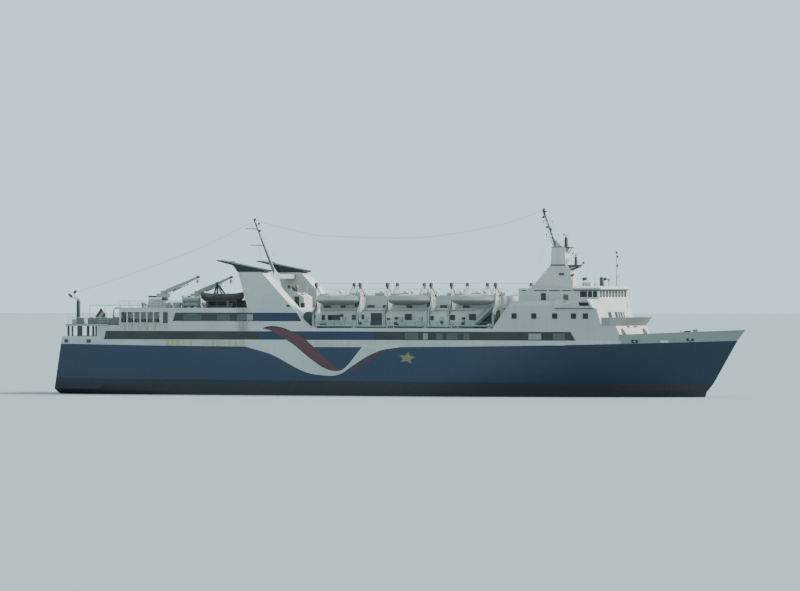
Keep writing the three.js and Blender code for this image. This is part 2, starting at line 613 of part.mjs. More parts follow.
function funnelFin(side) {
  const base = FUNNEL.topZ + GAP;
  const profile = [[-24.0, base], [-19.6, base], [-19.28, 18.45], [-27.67, 20.05], [-27.5, 19.87],
    [-24.75, 19.2]];
  return prism('XZ', profile, onSide(side, FUNNEL.inner - 0.08, FUNNEL.outer + 0.06));
}

for (const [name, side] of SIDES) {
  piece(`funnel_${name}`, funnel(side), 'white');
  piece(`funnel_fin_${name}`, funnelFin(side), 'dark');
}

const AFT_MAST = { footX: -21.6, footZ: 17.9, topX: -25.25, topZ: 26.48 };
function aftMast() {
  const reach = FUNNEL.inner - GAP;
  const beam = box([-22.6, -20.9], [-reach, reach], [17.2, 17.9]);
  const { footX, footZ, topX, topZ } = AFT_MAST;
  const at = (z) => footX + ((topX - footX) * (z - footZ)) / (topZ - footZ);
  const pole = rod([footX, 0, footZ - 0.3], [topX, 0, topZ], 0.22, 12, 0.09);
  const gaffs = [[22.3, 1.3], [24.9, 0.9]].map(
    ([z, length]) => rod([at(z), 0, z], [at(z) - length, 0, z + 0.12], 0.06, 8));
  const yard = rod([at(23.6), -1.6, 23.6], [at(23.6), 1.6, 23.6], 0.06, 8);
  return join(beam, pole, ...gaffs, yard);
}

piece('aft_mast', aftMast(), 'white');
const ventHouse = prism('XZ', [[-18.9, D_BASE_Z], [-16.0, D_BASE_Z], [-16.0, 14.3], [-18.3, 15.6], [-18.9, 15.6]],
  [-1.6, 1.6]);
piece('vent_house', ventHouse, 'white');

// Foremast on the deckhouse roof, with two radars
const RADARS = [ // name, X, pedestal foot Z, scanner Z, scanner half length
  ['lower', 28.6, 19.2, 20.6, 1.3],
  ['upper', 27.0, 21.95, 23.5, 1.0],
];
const FORE_POLE = { foot: [25.4, 21.8], top: [23.2, 27.75] }; // X, Z
function foremast() {
  const base = ROOF_Z + GAP;
  const profile = [[21.6, base], [24.85, 19.2], [25.0, 21.87], [27.15, 21.87], [27.3, 19.3], [27.95, 18.6],
    [28.6, base]];
  const housing = prism('XZ', profile, [-1.0, 1.0]);
  const lowerShelf = prism('XZ', [[26.5, 18.4], [27.2, 18.4], [29.3, 19.05], [29.35, 19.2], [26.5, 19.2]],
    [-0.6, 0.6]);
  const upperShelf = box([24.8, 27.9], [-0.7, 0.7], [21.8, 21.95]);
  const pedestals = RADARS.map(
    ([, x, footZ, scannerZ]) => rod([x, 0, footZ - 0.1], [x, 0, scannerZ - GAP], 0.22, 12, 0.14));
  const { foot, top } = FORE_POLE;
  const pole = rod([foot[0], 0, foot[1]], [top[0], 0, top[1]], 0.2, 12, 0.08);
  const bracket = prism('XZ', [[24.85, 21.8], [26.6, 21.8], [24.95, 23.3]], [-0.08, 0.08]);
  const yards = [[23.6, 2.6], [25.6, 1.8]].map(([z, half]) => {
    const x = foot[0] + ((top[0] - foot[0]) * (z - foot[1])) / (top[1] - foot[1]);
    return rod([x, -half, z], [x, half, z], 0.07, 8);
  });
  return join(housing, lowerShelf, upperShelf, ...pedestals, pole, bracket, ...yards);
}

piece('foremast', foremast(), 'white');
for (const [name, x, , scannerZ, halfLength] of RADARS) {
  const hub = rod([x, 0, scannerZ], [x, 0, scannerZ + 0.25], 0.16, 12);
  const bar = box([x - 0.14, x + 0.14], [-halfLength, halfLength], [scannerZ + 0.2, scannerZ + 0.48]);
  piece(`radar_scanner_${name}`, join(hub, bar), 'grey');
}

// Deck crane on each side
const CRANE = {
  x: -37.6, y: 6.2, ringZ: 14.2, pivotX: -37.85, pivotZ: 14.98, tipX: -31.9, tipZ: 17.44,
  cheekInner: 0.28, cheekOuter: 0.42, pinRadius: 0.08,
};

function cranePedestal(side) {
  const y = side * CRANE.y;
  const column = rod([CRANE.x, y, D_BASE_Z], [CRANE.x, y, CRANE.ringZ], 0.42, 16);
  const flange = rod([CRANE.x, y, D_BASE_Z], [CRANE.x, y, D_BASE_Z + 0.12], 0.6, 16);
  const cabinet = box([-40.3, -37.9], onSide(side, CRANE.y - 0.45, CRANE.y + 0.35), [D_BASE_Z, 14.1]);
  return join(column, flange, cabinet);
}

function craneHead(side) {
  const y = side * CRANE.y;
  const ring = rod([CRANE.x, y, CRANE.ringZ + GAP], [CRANE.x, y, CRANE.ringZ + 0.35], 0.5, 16);
  const cheekOutline = [[-38.3, 14.4], [-37.1, 14.4], [-37.5, 15.3], [-38.1, 15.3]];
  const cheeks = [-1, 1].map((k) => {
    const cheek = prism('XZ', cheekOutline, onSide(k, CRANE.cheekInner, CRANE.cheekOuter));
    return cheek.translate(0, y, 0);
  });
  const pinHole = rod([CRANE.pivotX, y - 1, CRANE.pivotZ], [CRANE.pivotX, y + 1, CRANE.pivotZ],
    CRANE.pinRadius + PIN_PLAY, PIN_SIDES);
  const rearArm = box([-40.4, -38.0], [y - 0.14, y + 0.14], [14.25, 14.5]);
  return cut(join(ring, ...cheeks, rearArm), pinHole);
}

function craneBoom(side) {
  const y = side * CRANE.y;
  const { pivotX, pivotZ, tipX, tipZ } = CRANE;
  const angle = Math.atan2(tipZ - pivotZ, tipX - pivotX);
  const reach = Math.hypot(tipZ - pivotZ, tipX - pivotX);
  const outline = [[-0.15, -0.18], [0.9, -0.3], [reach, -0.1], [reach, 0.1], [0.9, 0.32], [-0.15, 0.18]];
  const beam = prism('XZ', outline, [-0.22, 0.22]);
  beam.rotateY(-angle).translate(pivotX, y, pivotZ);
  const pin = rod([pivotX, y - 0.41, pivotZ], [pivotX, y + 0.41, pivotZ], CRANE.pinRadius, PIN_SIDES);
  const hook = rod([tipX - 0.1, y, tipZ], [tipX - 0.1, y, tipZ - 0.6], 0.07, 8);
  const hookBlock = box([tipX - 0.28, tipX + 0.08], [y - 0.12, y + 0.12], [tipZ - 0.95, tipZ - 0.4]);
  return join(beam, pin, hook, hookBlock);
}

for (const [name, side] of SIDES) {
  piece(`crane_pedestal_${name}`, cranePedestal(side), 'grey');
  piece(`crane_head_${name}`, craneHead(side), 'grey');
  piece(`crane_boom_${name}`, craneBoom(side), 'grey');
}

// Davits and lifeboats
// Sections: half breadth and height as shares of the boat's, from the keel over the gunwale to the ridge
const CANOPY_SECTION = [
  [0.0, 0.0], [0.5, 0.08], [0.82, 0.24], [0.96, 0.42], [1.0, 0.54], [0.9, 0.58], [0.84, 0.74], [0.6, 0.92],
  [0.3, 0.98], [0.0, 1.0],
];
const TENT_SECTION = [[0.0, 0.0], [0.5, 0.1], [0.85, 0.32], [1.0, 0.6], [0.94, 0.66], [0.5, 0.86], [0.0, 1.0]];
const BOAT_STATION_COUNT = 13;
const LIFEBOAT = {
  halfBreadth: 1.28, keelZ: 13.1, topZ: 14.77, section: CANOPY_SECTION, keelRise: 0.5, ridgeDrop: 0.3,
};

// A boat pointed at both ends: the keel rises and the ridge drops towards them
function boatShell(aftX, foreX, centreY, { halfBreadth, keelZ, topZ, section, keelRise, ridgeDrop }) {
  const rings = Array.from({ length: BOAT_STATION_COUNT }, (_, i) => {
    const fromMiddle = -Math.cos((Math.PI * i) / (BOAT_STATION_COUNT - 1));
    const x = (aftX + foreX) / 2 + (fromMiddle * (foreX - aftX)) / 2;
    const breadth = halfBreadth * Math.max(1 - Math.abs(fromMiddle) ** 2.6, 0.06);
    const lowZ = keelZ + keelRise * Math.abs(fromMiddle) ** 5;
    const highZ = topZ - ridgeDrop * Math.abs(fromMiddle) ** 3;
    const point = ([y, z], k) => [x, centreY + k * y * breadth, lowZ + z * (highZ - lowZ)];
    const up = section.map((share) => point(share, 1));
    const down = section.slice(1, -1).reverse().map((share) => point(share, -1));
    return [...up, ...down];
  });
  return loft(rings);
}

function lifeboat(side, [x0, x1]) {
  const y = side * DAVIT.headY;
  const shell = boatShell(x0 + 0.1, x1 - 0.1, y, LIFEBOAT);
  const falls = [x0 + 0.3, x1 - 0.3].flatMap((x, i) => {
    const hookX = i ? x - 0.55 : x + 0.55;
    return [
      cut(box([x - 0.08, x + 0.08], [y - 0.16, y + 0.16], [DAVIT.headZ - 0.22, DAVIT.headZ + 0.16]),
        rod([x - 1, y, DAVIT.headZ], [x + 1, y, DAVIT.headZ], DAVIT.pinRadius + PIN_PLAY, PIN_SIDES)),
      rod([x, y, DAVIT.headZ - 0.2], [hookX, y, 14.1], 0.06, 8),
    ];
  });
  return join(shell, ...falls);
}

function davit(side, [x0, x1]) {
  const outline = ribbon(rounded(DAVIT_LINE, DAVIT.bend).map(([y, z]) => [side * y, z]), DAVIT.width);
  const half = DAVIT.armThick / 2;
  const arms = [x0, x1].map((x) => prism('YZ', outline, [x - half, x + half]));
  const footY = side * DAVIT.footY;
  const tube = rod([x0, footY, DAVIT.footZ], [x1, footY, DAVIT.footZ], DAVIT.tubeRadius, PIN_SIDES);
  const headY = side * DAVIT.headY;
  const pins = [[x0, x0 + 0.42], [x1 - 0.42, x1]].map(
    ([a, b]) => rod([a, headY, DAVIT.headZ], [b, headY, DAVIT.headZ], DAVIT.pinRadius, PIN_SIDES));
  return join(...arms, tube, ...pins);
}

for (const [name, side] of SIDES) {
  BOAT_STATIONS.forEach((station, i) => {
    piece(`davit_${name}_${i + 1}`, davit(side, station), 'white');
    piece(`lifeboat_${name}_${i + 1}`, lifeboat(side, station), 'white');
  });
}

// Work boat under its tent-like cover, with its lifting frame, on a cradle
const WORK_BOAT = {
  aftX: -30.9, foreX: -24.2, y: -7.3, halfBreadth: 1.05, keelZ: 13.4, topZ: 14.95, section: TENT_SECTION,
  keelRise: 0.55, ridgeDrop: 0.35,
};
const LIFTING_FRAME = {
  apex: [-28.15, 16.6], feet: [-28.4, -26.9], footZ: 14.4, footHalfWidth: 0.75, radius: 0.11,
};
function workBoat() {
  const { aftX, foreX, y } = WORK_BOAT;
  const { apex, feet, footZ, footHalfWidth, radius } = LIFTING_FRAME;
  const top = [apex[0], y, apex[1]];
  const legs = feet.flatMap((x) => [-1, 1].map((k) => rod([x, y + k * footHalfWidth, footZ], top, radius, 8)));
  return join(boatShell(aftX, foreX, y, WORK_BOAT), ...legs);
}

piece('work_boat', workBoat(), 'brown');

function cradle() {
  const { aftX, foreX, y, halfBreadth, keelZ } = WORK_BOAT;
  const seat = boatShell(aftX, foreX, y, { ...WORK_BOAT, halfBreadth: halfBreadth + GAP, keelZ: keelZ - GAP });
  const chocks = [-29.6, -26.0].map(
    (x) => box([x - 0.15, x + 0.15], [y - 0.85, y + 0.85], [D_BASE_Z, keelZ + 0.35]));
  const keelRail = box([-29.7, -25.9], [y - 0.1, y + 0.1], [D_BASE_Z, D_BASE_Z + 0.25]);
  return cut(join(...chocks, keelRail), seat);
}

piece('boat_cradle', cradle(), 'brown');

// Rack of life raft canisters on deck D, on each side
const RAFT_RACK = {
  aftX: -33.6, foreX: -31.2, y: 7.4, halfDepth: 0.75, canisterRadius: 0.36, canisterZs: [13.15, 13.95],
};
function raftRack(side) {
  const { aftX, foreX, y, halfDepth, canisterRadius, canisterZs } = RAFT_RACK;
  const topZ = canisterZs[1] + 0.5;
  const frames = [aftX, (aftX + foreX) / 2, foreX].map((x) => {
    const plate = box([x - 0.06, x + 0.06], onSide(side, y - halfDepth, y + halfDepth), [D_BASE_Z, topZ]);
    const window = box([x - 1, x + 1], onSide(side, y - 0.3, y + 0.3), [D_BASE_Z + 0.15, topZ - 0.15]);
    return cut(plate, window);
  });
  const canisters = canisterZs.flatMap((z) => [-1, 1].map((k) => {
    const at = side * y + k * (halfDepth - canisterRadius);
    return rod([aftX - 0.15, at, z], [foreX + 0.15, at, z], canisterRadius, 12);
  }));
  return join(...frames, ...canisters);
}

for (const [name, side] of SIDES) {
  piece(`raft_rack_${name}`, raftRack(side), 'grey');
}

// Windlass on the foredeck and light post on the stern
function windlass() {
  const base = FOREDECK_Z + GAP;
  const bed = box([46.2, 48.6], [-2.4, 2.4], [base, base + 0.25]);
  const drums = rod([47.4, -3.0, base + 0.85], [47.4, 3.0, base + 0.85], 0.45, 16);
  const gearCase = box([46.7, 48.1], [-0.6, 0.6], [base + 0.1, base + 1.3]);
  const stands = [-2.1, 2.1].map((y) => box([47.1, 47.7], [y - 0.12, y + 0.12], [base + 0.1, base + 0.9]));
  return join(bed, drums, gearCase, ...stands);
}

piece('windlass', windlass(), 'deckGreen');
const sternPost = join(rod([-53.2, -5, 10.1 + GAP], [-53.2, -5, 14.0], 0.2, 10),
  rod([-53.2, -5, 13.75], [-54.6, -5, 14.55], 0.07, 8), rod([-53.75, -5, 13.95], [-53.85, -5, 15.0], 0.07, 8));
piece('stern_light_post', sternPost, 'grey');

export default ship;
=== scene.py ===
# %% [markdown]
# # Dressing a ro-ro ship
# The solids of the ship are loaded first and stay where they are. Everything in this lesson is either a
# finish for one of them, a finer mesh that stands for one, or a small thing that sits on one. The model is
# one tenth of the real ship, so all sizes below are given in metres of the real ship and scaled at the end.

import math
import random

import bmesh
import bpy
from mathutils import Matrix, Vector


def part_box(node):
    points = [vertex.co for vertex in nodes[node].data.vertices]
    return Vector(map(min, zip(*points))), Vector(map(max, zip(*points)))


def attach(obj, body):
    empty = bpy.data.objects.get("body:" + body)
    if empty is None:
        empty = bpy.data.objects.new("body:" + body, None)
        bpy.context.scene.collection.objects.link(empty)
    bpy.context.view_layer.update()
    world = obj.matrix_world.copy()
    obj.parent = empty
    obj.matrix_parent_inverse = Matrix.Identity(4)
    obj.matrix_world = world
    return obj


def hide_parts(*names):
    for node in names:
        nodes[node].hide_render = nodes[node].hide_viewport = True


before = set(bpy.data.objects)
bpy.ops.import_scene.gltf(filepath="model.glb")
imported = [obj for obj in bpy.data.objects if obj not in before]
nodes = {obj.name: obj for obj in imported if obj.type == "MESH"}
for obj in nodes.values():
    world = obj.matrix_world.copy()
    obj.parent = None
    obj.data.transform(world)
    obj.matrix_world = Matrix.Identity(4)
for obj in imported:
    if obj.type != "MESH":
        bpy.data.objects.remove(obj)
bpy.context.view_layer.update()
SHIP = 0.1  # one metre of the real ship, in the model's metres
RISE = 0.8  # heights count from the load waterline, and the ship floats light, this much higher
SIDES = [("starboard", -1), ("port", 1)]

# %% [markdown]
# The places of decks and walls are read from the solids. A small function turns a solid's box into ship
# metres, so that each later size can be checked against a real ship: 2.8 m from deck to deck, 1 m for a rail.

# %% Read the main levels
def ship_box(node):
    """Lowest and highest corner of a solid, in metres of the real ship."""
    low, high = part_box(node)
    lift = Vector((0, 0, RISE))
    return low / SHIP - lift, high / SHIP - lift


HALF_BEAM = ship_box("lower_house")[1].y
DECK_B = ship_box("main_deck")[1].z
FOREDECK = ship_box("hull_bow")[1].z
DECK_C = ship_box("upper_house_aft")[0].z
RECESS = ship_box("upper_house_inner")[0].z  # deck C beside the lifeboats, a step lower
DECK_D = ship_box("upper_house_inner")[1].z
ROOF = ship_box("top_deckhouse")[1].z
FRONT_X = ship_box("lower_house")[1].x
WHEELHOUSE_LOW, WHEELHOUSE_HIGH = ship_box("wheelhouse_walls")
print("decks B, C, D and roof:", *(round(z, 2) for z in (DECK_B, DECK_C, DECK_D, ROOF)))

# %% [markdown]
# The photograph was taken from far away with a long lens, a little ahead of the ship's starboard beam and
# from about the height of the upper deck. A long lens flattens the view, so the camera here stands 900 ship
# metres off. Its height puts the horizon at the same row as in the photograph.

# %% Camera
VIEW_ANGLE = math.radians(23)  # ahead of the beam
CAMERA_DISTANCE = 900.0
CAMERA_HEIGHT = 14.4
AIM_X = -0.5
PHOTO_WIDTH, PHOTO_HEIGHT = 800, 591
SHIP_METRE_PIXELS = 6.485
HORIZON_ROW = 296.5
SIGHT_RANGE = 1000  # in model metres

camera = bpy.data.objects.new("camera", bpy.data.cameras.new("camera"))
bpy.context.scene.collection.objects.link(camera)
away = Vector((math.sin(VIEW_ANGLE), -math.cos(VIEW_ANGLE), 0))
camera.location = (Vector((AIM_X, 0, CAMERA_HEIGHT + RISE)) + away * CAMERA_DISTANCE) * SHIP
camera.rotation_euler = (math.pi / 2, 0, VIEW_ANGLE)
camera.data.lens = camera.data.sensor_width * SHIP_METRE_PIXELS * CAMERA_DISTANCE / PHOTO_WIDTH
camera.data.shift_y = (HORIZON_ROW - PHOTO_HEIGHT / 2) / PHOTO_WIDTH
camera.data.clip_end = SIGHT_RANGE
bpy.context.scene.camera = camera
print("lens:", round(camera.data.lens, 1), "mm")

# %% [markdown]
# The day is hazy, so much light comes evenly from the sky. A soft sun from ahead, on the far side of the
# ship, whitens every face that looks forward and leaves the near side in the shade. A pale floor lies at the
# waterline, as for a model in a studio.

# %% Light and floor
SKY_COLOUR = (0.62, 0.9, 1.0, 1)
SKY_STRENGTH = 1.27
SUN_FROM_ZENITH, SUN_TURN = math.radians(55), math.radians(112)
SUN_STRENGTH = 8.0
SUN_SPREAD = math.radians(20)
SUN_COLOUR = (1.0, 0.98, 0.95)
FLOOR_SIZE = 800.0

world = bpy.data.worlds.new("haze")
bpy.context.scene.world = world
world.use_nodes = True
sky = world.node_tree.nodes["Background"]
sky.inputs["Color"].default_value = SKY_COLOUR
sky.inputs["Strength"].default_value = SKY_STRENGTH

sun = bpy.data.objects.new("sun", bpy.data.lights.new("sun", "SUN"))
bpy.context.scene.collection.objects.link(sun)
sun.rotation_euler = (SUN_FROM_ZENITH, 0, SUN_TURN)
sun.data.energy = SUN_STRENGTH
sun.data.angle = SUN_SPREAD
sun.data.color = SUN_COLOUR

bpy.ops.mesh.primitive_plane_add(size=FLOOR_SIZE)
floor = bpy.context.object
floor.name = "floor"
print("sun and floor ready")

# %% [markdown]
# Paint on a ship is never one flat colour. Rain draws soot and rust down the plates, the plates are
# slightly dished between their frames, and seams show where they are welded. All paints here come from one
# recipe of nodes: blotches, upright streaks, welded seams and dishing as a bump, and a varying roughness.

# %% Small node helpers
def node_of(tree, kind, **settings):
    made = tree.nodes.new(kind)
    for name, value in settings.items():
        setattr(made, name, value)
    return made


def noise(tree, place, stretch, detail=3.0):
    """Noise with about `stretch` grains per model metre along X, Y and Z."""
    mapping = node_of(tree, "ShaderNodeMapping")
    mapping.inputs["Scale"].default_value = stretch
    tree.links.new(place, mapping.inputs["Vector"])
    texture = node_of(tree, "ShaderNodeTexNoise")
    texture.inputs["Scale"].default_value = 1.0
    texture.inputs["Detail"].default_value = detail
    tree.links.new(mapping.outputs["Vector"], texture.inputs["Vector"])
    return texture.outputs["Fac"]


def spread(tree, value, low, high, to_low=0.0, to_high=1.0):
    """Maps low..high to to_low..to_high and holds it beyond both ends."""
    ramp = node_of(tree, "ShaderNodeMapRange")
    for name, number in zip(("From Min", "From Max", "To Min", "To Max"), (low, high, to_low, to_high)):
        ramp.inputs[name].default_value = number
    tree.links.new(value, ramp.inputs["Value"])
    return ramp.outputs["Result"]


def times(tree, first, second):
    product = node_of(tree, "ShaderNodeMath", operation="MULTIPLY")
    tree.links.new(first, product.inputs[0])
    tree.links.new(second, product.inputs[1])
    return product.outputs["Value"]


def mixed(tree, share, first, second):
    """Mix of two colours; each is a tuple or the output of a node."""
    mix = node_of(tree, "ShaderNodeMix", data_type="RGBA")
    tree.links.new(share, mix.inputs["Factor"])
    for value, socket in ((first, mix.inputs["A"]), (second, mix.inputs["B"])):
        if isinstance(value, tuple):
            socket.default_value = (*value, 1)
        else:
            tree.links.new(value, socket)
    return mix.outputs["Result"]


def bumped(tree, height, strength, depth, below=None):
    """A bump from a height, laid over the bump below."""
    bump = node_of(tree, "ShaderNodeBump")
    bump.inputs["Strength"].default_value = strength
    bump.inputs["Distance"].default_value = depth
    tree.links.new(height, bump.inputs["Height"])
    if below:
        tree.links.new(below, bump.inputs["Normal"])
    return bump.outputs["Normal"]


print("node helpers ready")

# %% [markdown]
# Welded seams are a brick pattern seen from the side, with joints only 22 mm
# wide on the real ship. A stain is limited to a zone of the side by four soft edges, such as the rust that
# runs down below the promenade's openings.

# %% Seams and stains
SEAM_WIDTH = 0.0022  # in model metres
SOFT_Z = 0.15  # half width of a stain's soft edge, up and down
SOFT_X, SOFT_X_SHARE = 0.7, 0.15  # the same fore and aft: the least, and as a share of the stain's length


def plate_seams(tree, place, width, height):
    """Thin lines of a brick pattern on the ship's side, for welded seams."""
    parts = node_of(tree, "ShaderNodeSeparateXYZ")
    tree.links.new(place, parts.inputs["Vector"])
    flat = node_of(tree, "ShaderNodeCombineXYZ")
    tree.links.new(parts.outputs["X"], flat.inputs["X"])
    tree.links.new(parts.outputs["Z"], flat.inputs["Y"])
    brick = node_of(tree, "ShaderNodeTexBrick")
    settings = {"Scale": 1.0, "Mortar Size": SEAM_WIDTH, "Mortar Smooth": 0.6,
                "Brick Width": width, "Row Height": height}
    for name, number in settings.items():
        brick.inputs[name].default_value = number
    tree.links.new(flat.outputs["Vector"], brick.inputs["Vector"])
    return brick.outputs["Fac"]


def zone(tree, place, x_range, z_range):
    """1 inside a stretch of X and Z in ship metres, fading to 0 over its soft edges."""
    parts = node_of(tree, "ShaderNodeSeparateXYZ")
    tree.links.new(place, parts.inputs["Vector"])
    result = None
    soft_x = max(SOFT_X, SOFT_X_SHARE * (x_range[1] - x_range[0]))
    for axis, (low, high), soft, lift in (("X", x_range, soft_x, 0.0), ("Z", z_range, SOFT_Z, RISE)):
        for start, end in ((low - soft, low + soft), (high + soft, high - soft)):
            edge = spread(tree, parts.outputs[axis], (start + lift) * SHIP, (end + lift) * SHIP)
            result = edge if result is None else times(tree, result, edge)
    return result


print("seam width on the ship:", round(SEAM_WIDTH / SHIP * 1000), "mm")

# %% [markdown]
# The recipe itself. blotch and streak are the colours of the stains, and grain makes the blotches larger or
# smaller. stains is a list of zones with a colour of their own: a stretch of X, one of Z, the colour, its
# share within the streaks and its share between them.

# %% Paint recipe
# Grains per model metre along X, Y and Z
BLOTCH_GRAINS = (1.6, 1.6, 3.0)
DRIP_GRAINS = (26, 26, 1.9)  # drawn out in height, so they read as streaks
FINE_GRAINS = (46, 46, 60)
DENT_GRAINS = (9, 9, 12)
DENT_DEPTH, WELD_DEPTH = 0.004, 0.001
WELD_STRENGTH, WELD_SHADE = 0.3, 0.12
BLOTCH_SHADE, STREAK_SHADE = 0.86, 0.72  # of a paint that names no colours for them
paints = []


def worn_colour(tree, place, fine, colour, blotch, streak, streak_share, grain, stains):
    """The colour of a paint with its blotches, streaks and stains."""
    coarse = noise(tree, place, tuple(count / grain for count in BLOTCH_GRAINS), 5.0)
    drips = noise(tree, place, DRIP_GRAINS, 4.0)
    base = mixed(tree, spread(tree, coarse, 0.42, 0.62), colour, blotch)
    base = mixed(tree, spread(tree, drips, 0.55, 0.78, 0.0, streak_share), base, streak)
    base = mixed(tree, spread(tree, fine, 0.5, 0.75, 0.0, 0.25), base, blotch)
    for x_range, z_range, stain, share, even_share in stains:
        pattern = spread(tree, drips, 0.42, 0.66, even_share, share)
        base = mixed(tree, times(tree, zone(tree, place, x_range, z_range), pattern), base, stain)
    return base


def paint(name, colour, blotch=None, streak=None, streak_share=0.5, roughness=0.45, metallic=0.0,
          seams=None, dishing=0.25, grain=1.0, stains=()):
    """A material after the recipe; seams is the length and height of a plate in model metres."""
    material = bpy.data.materials.new(name)
    material.use_nodes = True
    tree = material.node_tree
    place = node_of(tree, "ShaderNodeTexCoord").outputs["Object"]
    blotch = blotch or tuple(BLOTCH_SHADE * c for c in colour)
    streak = streak or tuple(STREAK_SHADE * c for c in colour)
    fine = noise(tree, place, FINE_GRAINS, 4.0)
    base = worn_colour(tree, place, fine, colour, blotch, streak, streak_share, grain, stains)
    normal = bumped(tree, noise(tree, place, DENT_GRAINS, 1.0), dishing, DENT_DEPTH)
    if seams:
        lines = plate_seams(tree, place, *seams)
        base = mixed(tree, spread(tree, lines, 0.0, 1.0, 0.0, WELD_SHADE), base, streak)
        normal = bumped(tree, lines, WELD_STRENGTH, WELD_DEPTH, normal)
    rough = spread(tree, fine, 0.3, 0.7, roughness - 0.07, roughness + 0.12)
    shader = tree.nodes["Principled BSDF"]
    for socket, value in (("Base Color", base), ("Roughness", rough), ("Normal", normal)):
        tree.links.new(value, shader.inputs[socket])
    shader.inputs["Metallic"].default_value = metallic
    paints.append(material)
    return material


print("recipe ready")

# %% [markdown]
# The ship's own colours. The photograph's haze lifts all darks, so the blues and blacks are a little paler
# than fresh paint would be. The white of the houses is a cool grey-white with soot and rust in its streaks.
# Each paint names its colour, that of its blotches and of its streaks, the share of the streaks and its
# roughness.

# %% Paints of the hull and the houses
RUST = (0.23, 0.109, 0.053)
YELLOWED = (0.36, 0.323, 0.176)
SOOT = (0.13, 0.125, 0.115)
DEEP_BLUE = (0.009, 0.018, 0.036)
OLD_RED = (0.055, 0.028, 0.03)
SHADED_WHITE = (0.36, 0.335, 0.325)
HULL_PLATE, HOUSE_PLATE = (0.82, 0.235), (0.55, 0.24)
# Stains: X from and to, Z from and to, colour, share in the streaks, share between them
BLUE_STAINS = [((26, 66), (0.4, 9.0), DEEP_BLUE, 0.85, 0.75)]
BOOT_STAINS = [((36, 48), (0.1, 1.3), OLD_RED, 0.8, 0.3), ((-14, 4), (0.5, 1.5), OLD_RED, 0.45, 0.1)]
WHITE_STAINS = [
    # The forward house's white, darkened as painted shade.
    ((19, 44), (7.7, 13.0), SHADED_WHITE, 0.7, 0.5),
    ((-23.9, -22.4), (9.0, 12.6), SOOT, 0.9, 0.5),
    ((-39, -22), (6.6, 7.7), YELLOWED, 0.9, 0.2),
    ((-36, -33), (6.5, 7.7), YELLOWED, 0.8, 0.6),
    ((-44, -36), (9.2, 10.5), RUST, 0.75, 0.05),
    ((-22, 40), (6.8, 7.6), YELLOWED, 0.35, 0.05),
]
hull_blue = paint("hull_blue", (0.018, 0.033, 0.067), (0.021, 0.035, 0.063), (0.014, 0.024, 0.042), 0.35,
                  0.42, seams=HULL_PLATE, grain=1.6, stains=BLUE_STAINS)
boot_black = paint("boot_black", (0.018, 0.022, 0.028), (0.025, 0.025, 0.03), (0.034, 0.024, 0.026), 0.4,
                   0.6, seams=HULL_PLATE, grain=1.6, stains=BOOT_STAINS)
antifouling = paint("antifouling", (0.13, 0.043, 0.031), (0.09, 0.048, 0.035), (0.17, 0.085, 0.062), 0.4,
                    0.75, seams=HULL_PLATE)
white_side = paint("white_side", (0.475, 0.458, 0.442), (0.415, 0.402, 0.39), (0.33, 0.31, 0.272), 0.4,
                   0.5, seams=HOUSE_PLATE, stains=WHITE_STAINS)
white_house = paint("white_house", (0.49, 0.475, 0.452), (0.43, 0.42, 0.402), (0.33, 0.305, 0.268), 0.42,
                    0.5, seams=HOUSE_PLATE)
livery_white = paint("livery_white", (0.5, 0.503, 0.484), (0.44, 0.446, 0.422), (0.36, 0.342, 0.29), 0.4, 0.5)
livery_red = paint("livery_red", (0.112, 0.033, 0.04), (0.095, 0.033, 0.038), (0.072, 0.029, 0.031),
                   0.35, 0.5)
livery_wine = paint("livery_wine", (0.075, 0.033, 0.046), (0.065, 0.032, 0.044), (0.05, 0.028, 0.04),
                    0.35, 0.5)
livery_ochre = paint("livery_ochre", (0.21, 0.19, 0.075), (0.17, 0.152, 0.07), (0.14, 0.114, 0.062),
                     0.35, 0.5)
# Blue of the window bands, also used for a painted shadow under the stairs.
strip_blue_and_stair_shadow = paint("strip_blue_and_stair_shadow", (0.013, 0.026, 0.06), (0.012, 0.023, 0.051), (0.013, 0.021, 0.036),
                   0.4, 0.4)
print("paints:", len(paints))

# %% [markdown]
# Decks, gear and boats have quieter paints. Glass and blinds lie nearly flat, so they are hardly dished. The
# bronze of the screws is the only bare metal.

# %% Paints of decks, gear and boats
deck_green = paint("deck_green", (0.105, 0.119, 0.099), (0.085, 0.095, 0.079), (0.11, 0.071, 0.044), 0.3, 0.8)
roof_grey = paint("roof_grey", (0.34, 0.351, 0.33), (0.29, 0.294, 0.277), (0.24, 0.228, 0.194), 0.4, 0.7)
screen_green = paint("screen_green", (0.145, 0.155, 0.135), (0.12, 0.13, 0.115), (0.12, 0.105, 0.08),
                     0.3, 0.7)
grey_gear = paint("grey_gear", (0.3, 0.314, 0.299), (0.23, 0.247, 0.238), RUST, 0.3, 0.55)
dark_gear = paint("dark_gear", (0.045, 0.052, 0.053), (0.06, 0.062, 0.057), RUST, 0.25, 0.55)
frame_green = paint("frame_green", (0.025, 0.043, 0.037), (0.03, 0.043, 0.035), RUST, 0.2, 0.55)
fin_dark = paint("fin_dark", (0.01, 0.018, 0.023), (0.014, 0.021, 0.025), (0.026, 0.026, 0.026), 0.4, 0.65)
boat_white = paint("boat_white", (0.37, 0.362, 0.325), (0.31, 0.305, 0.272), (0.24, 0.22, 0.176), 0.45, 0.45)
boat_shade = paint("boat_shade", (0.19, 0.195, 0.172), (0.16, 0.162, 0.141), (0.13, 0.114, 0.088), 0.4, 0.55)
boat_brown = paint("boat_brown", (0.056, 0.033, 0.03), (0.049, 0.033, 0.031), (0.085, 0.054, 0.036),
                   0.4, 0.6)
locker_brown = paint("locker_brown", (0.105, 0.082, 0.078), (0.085, 0.07, 0.067), (0.06, 0.052, 0.048),
                     0.4, 0.7)
cradle_pink = paint("cradle_pink", (0.17, 0.119, 0.11), (0.12, 0.095, 0.088), RUST, 0.5, 0.7)
cover_brown = paint("cover_brown", (0.07, 0.056, 0.048), (0.055, 0.046, 0.04), (0.095, 0.082, 0.07),
                    0.4, 0.85)
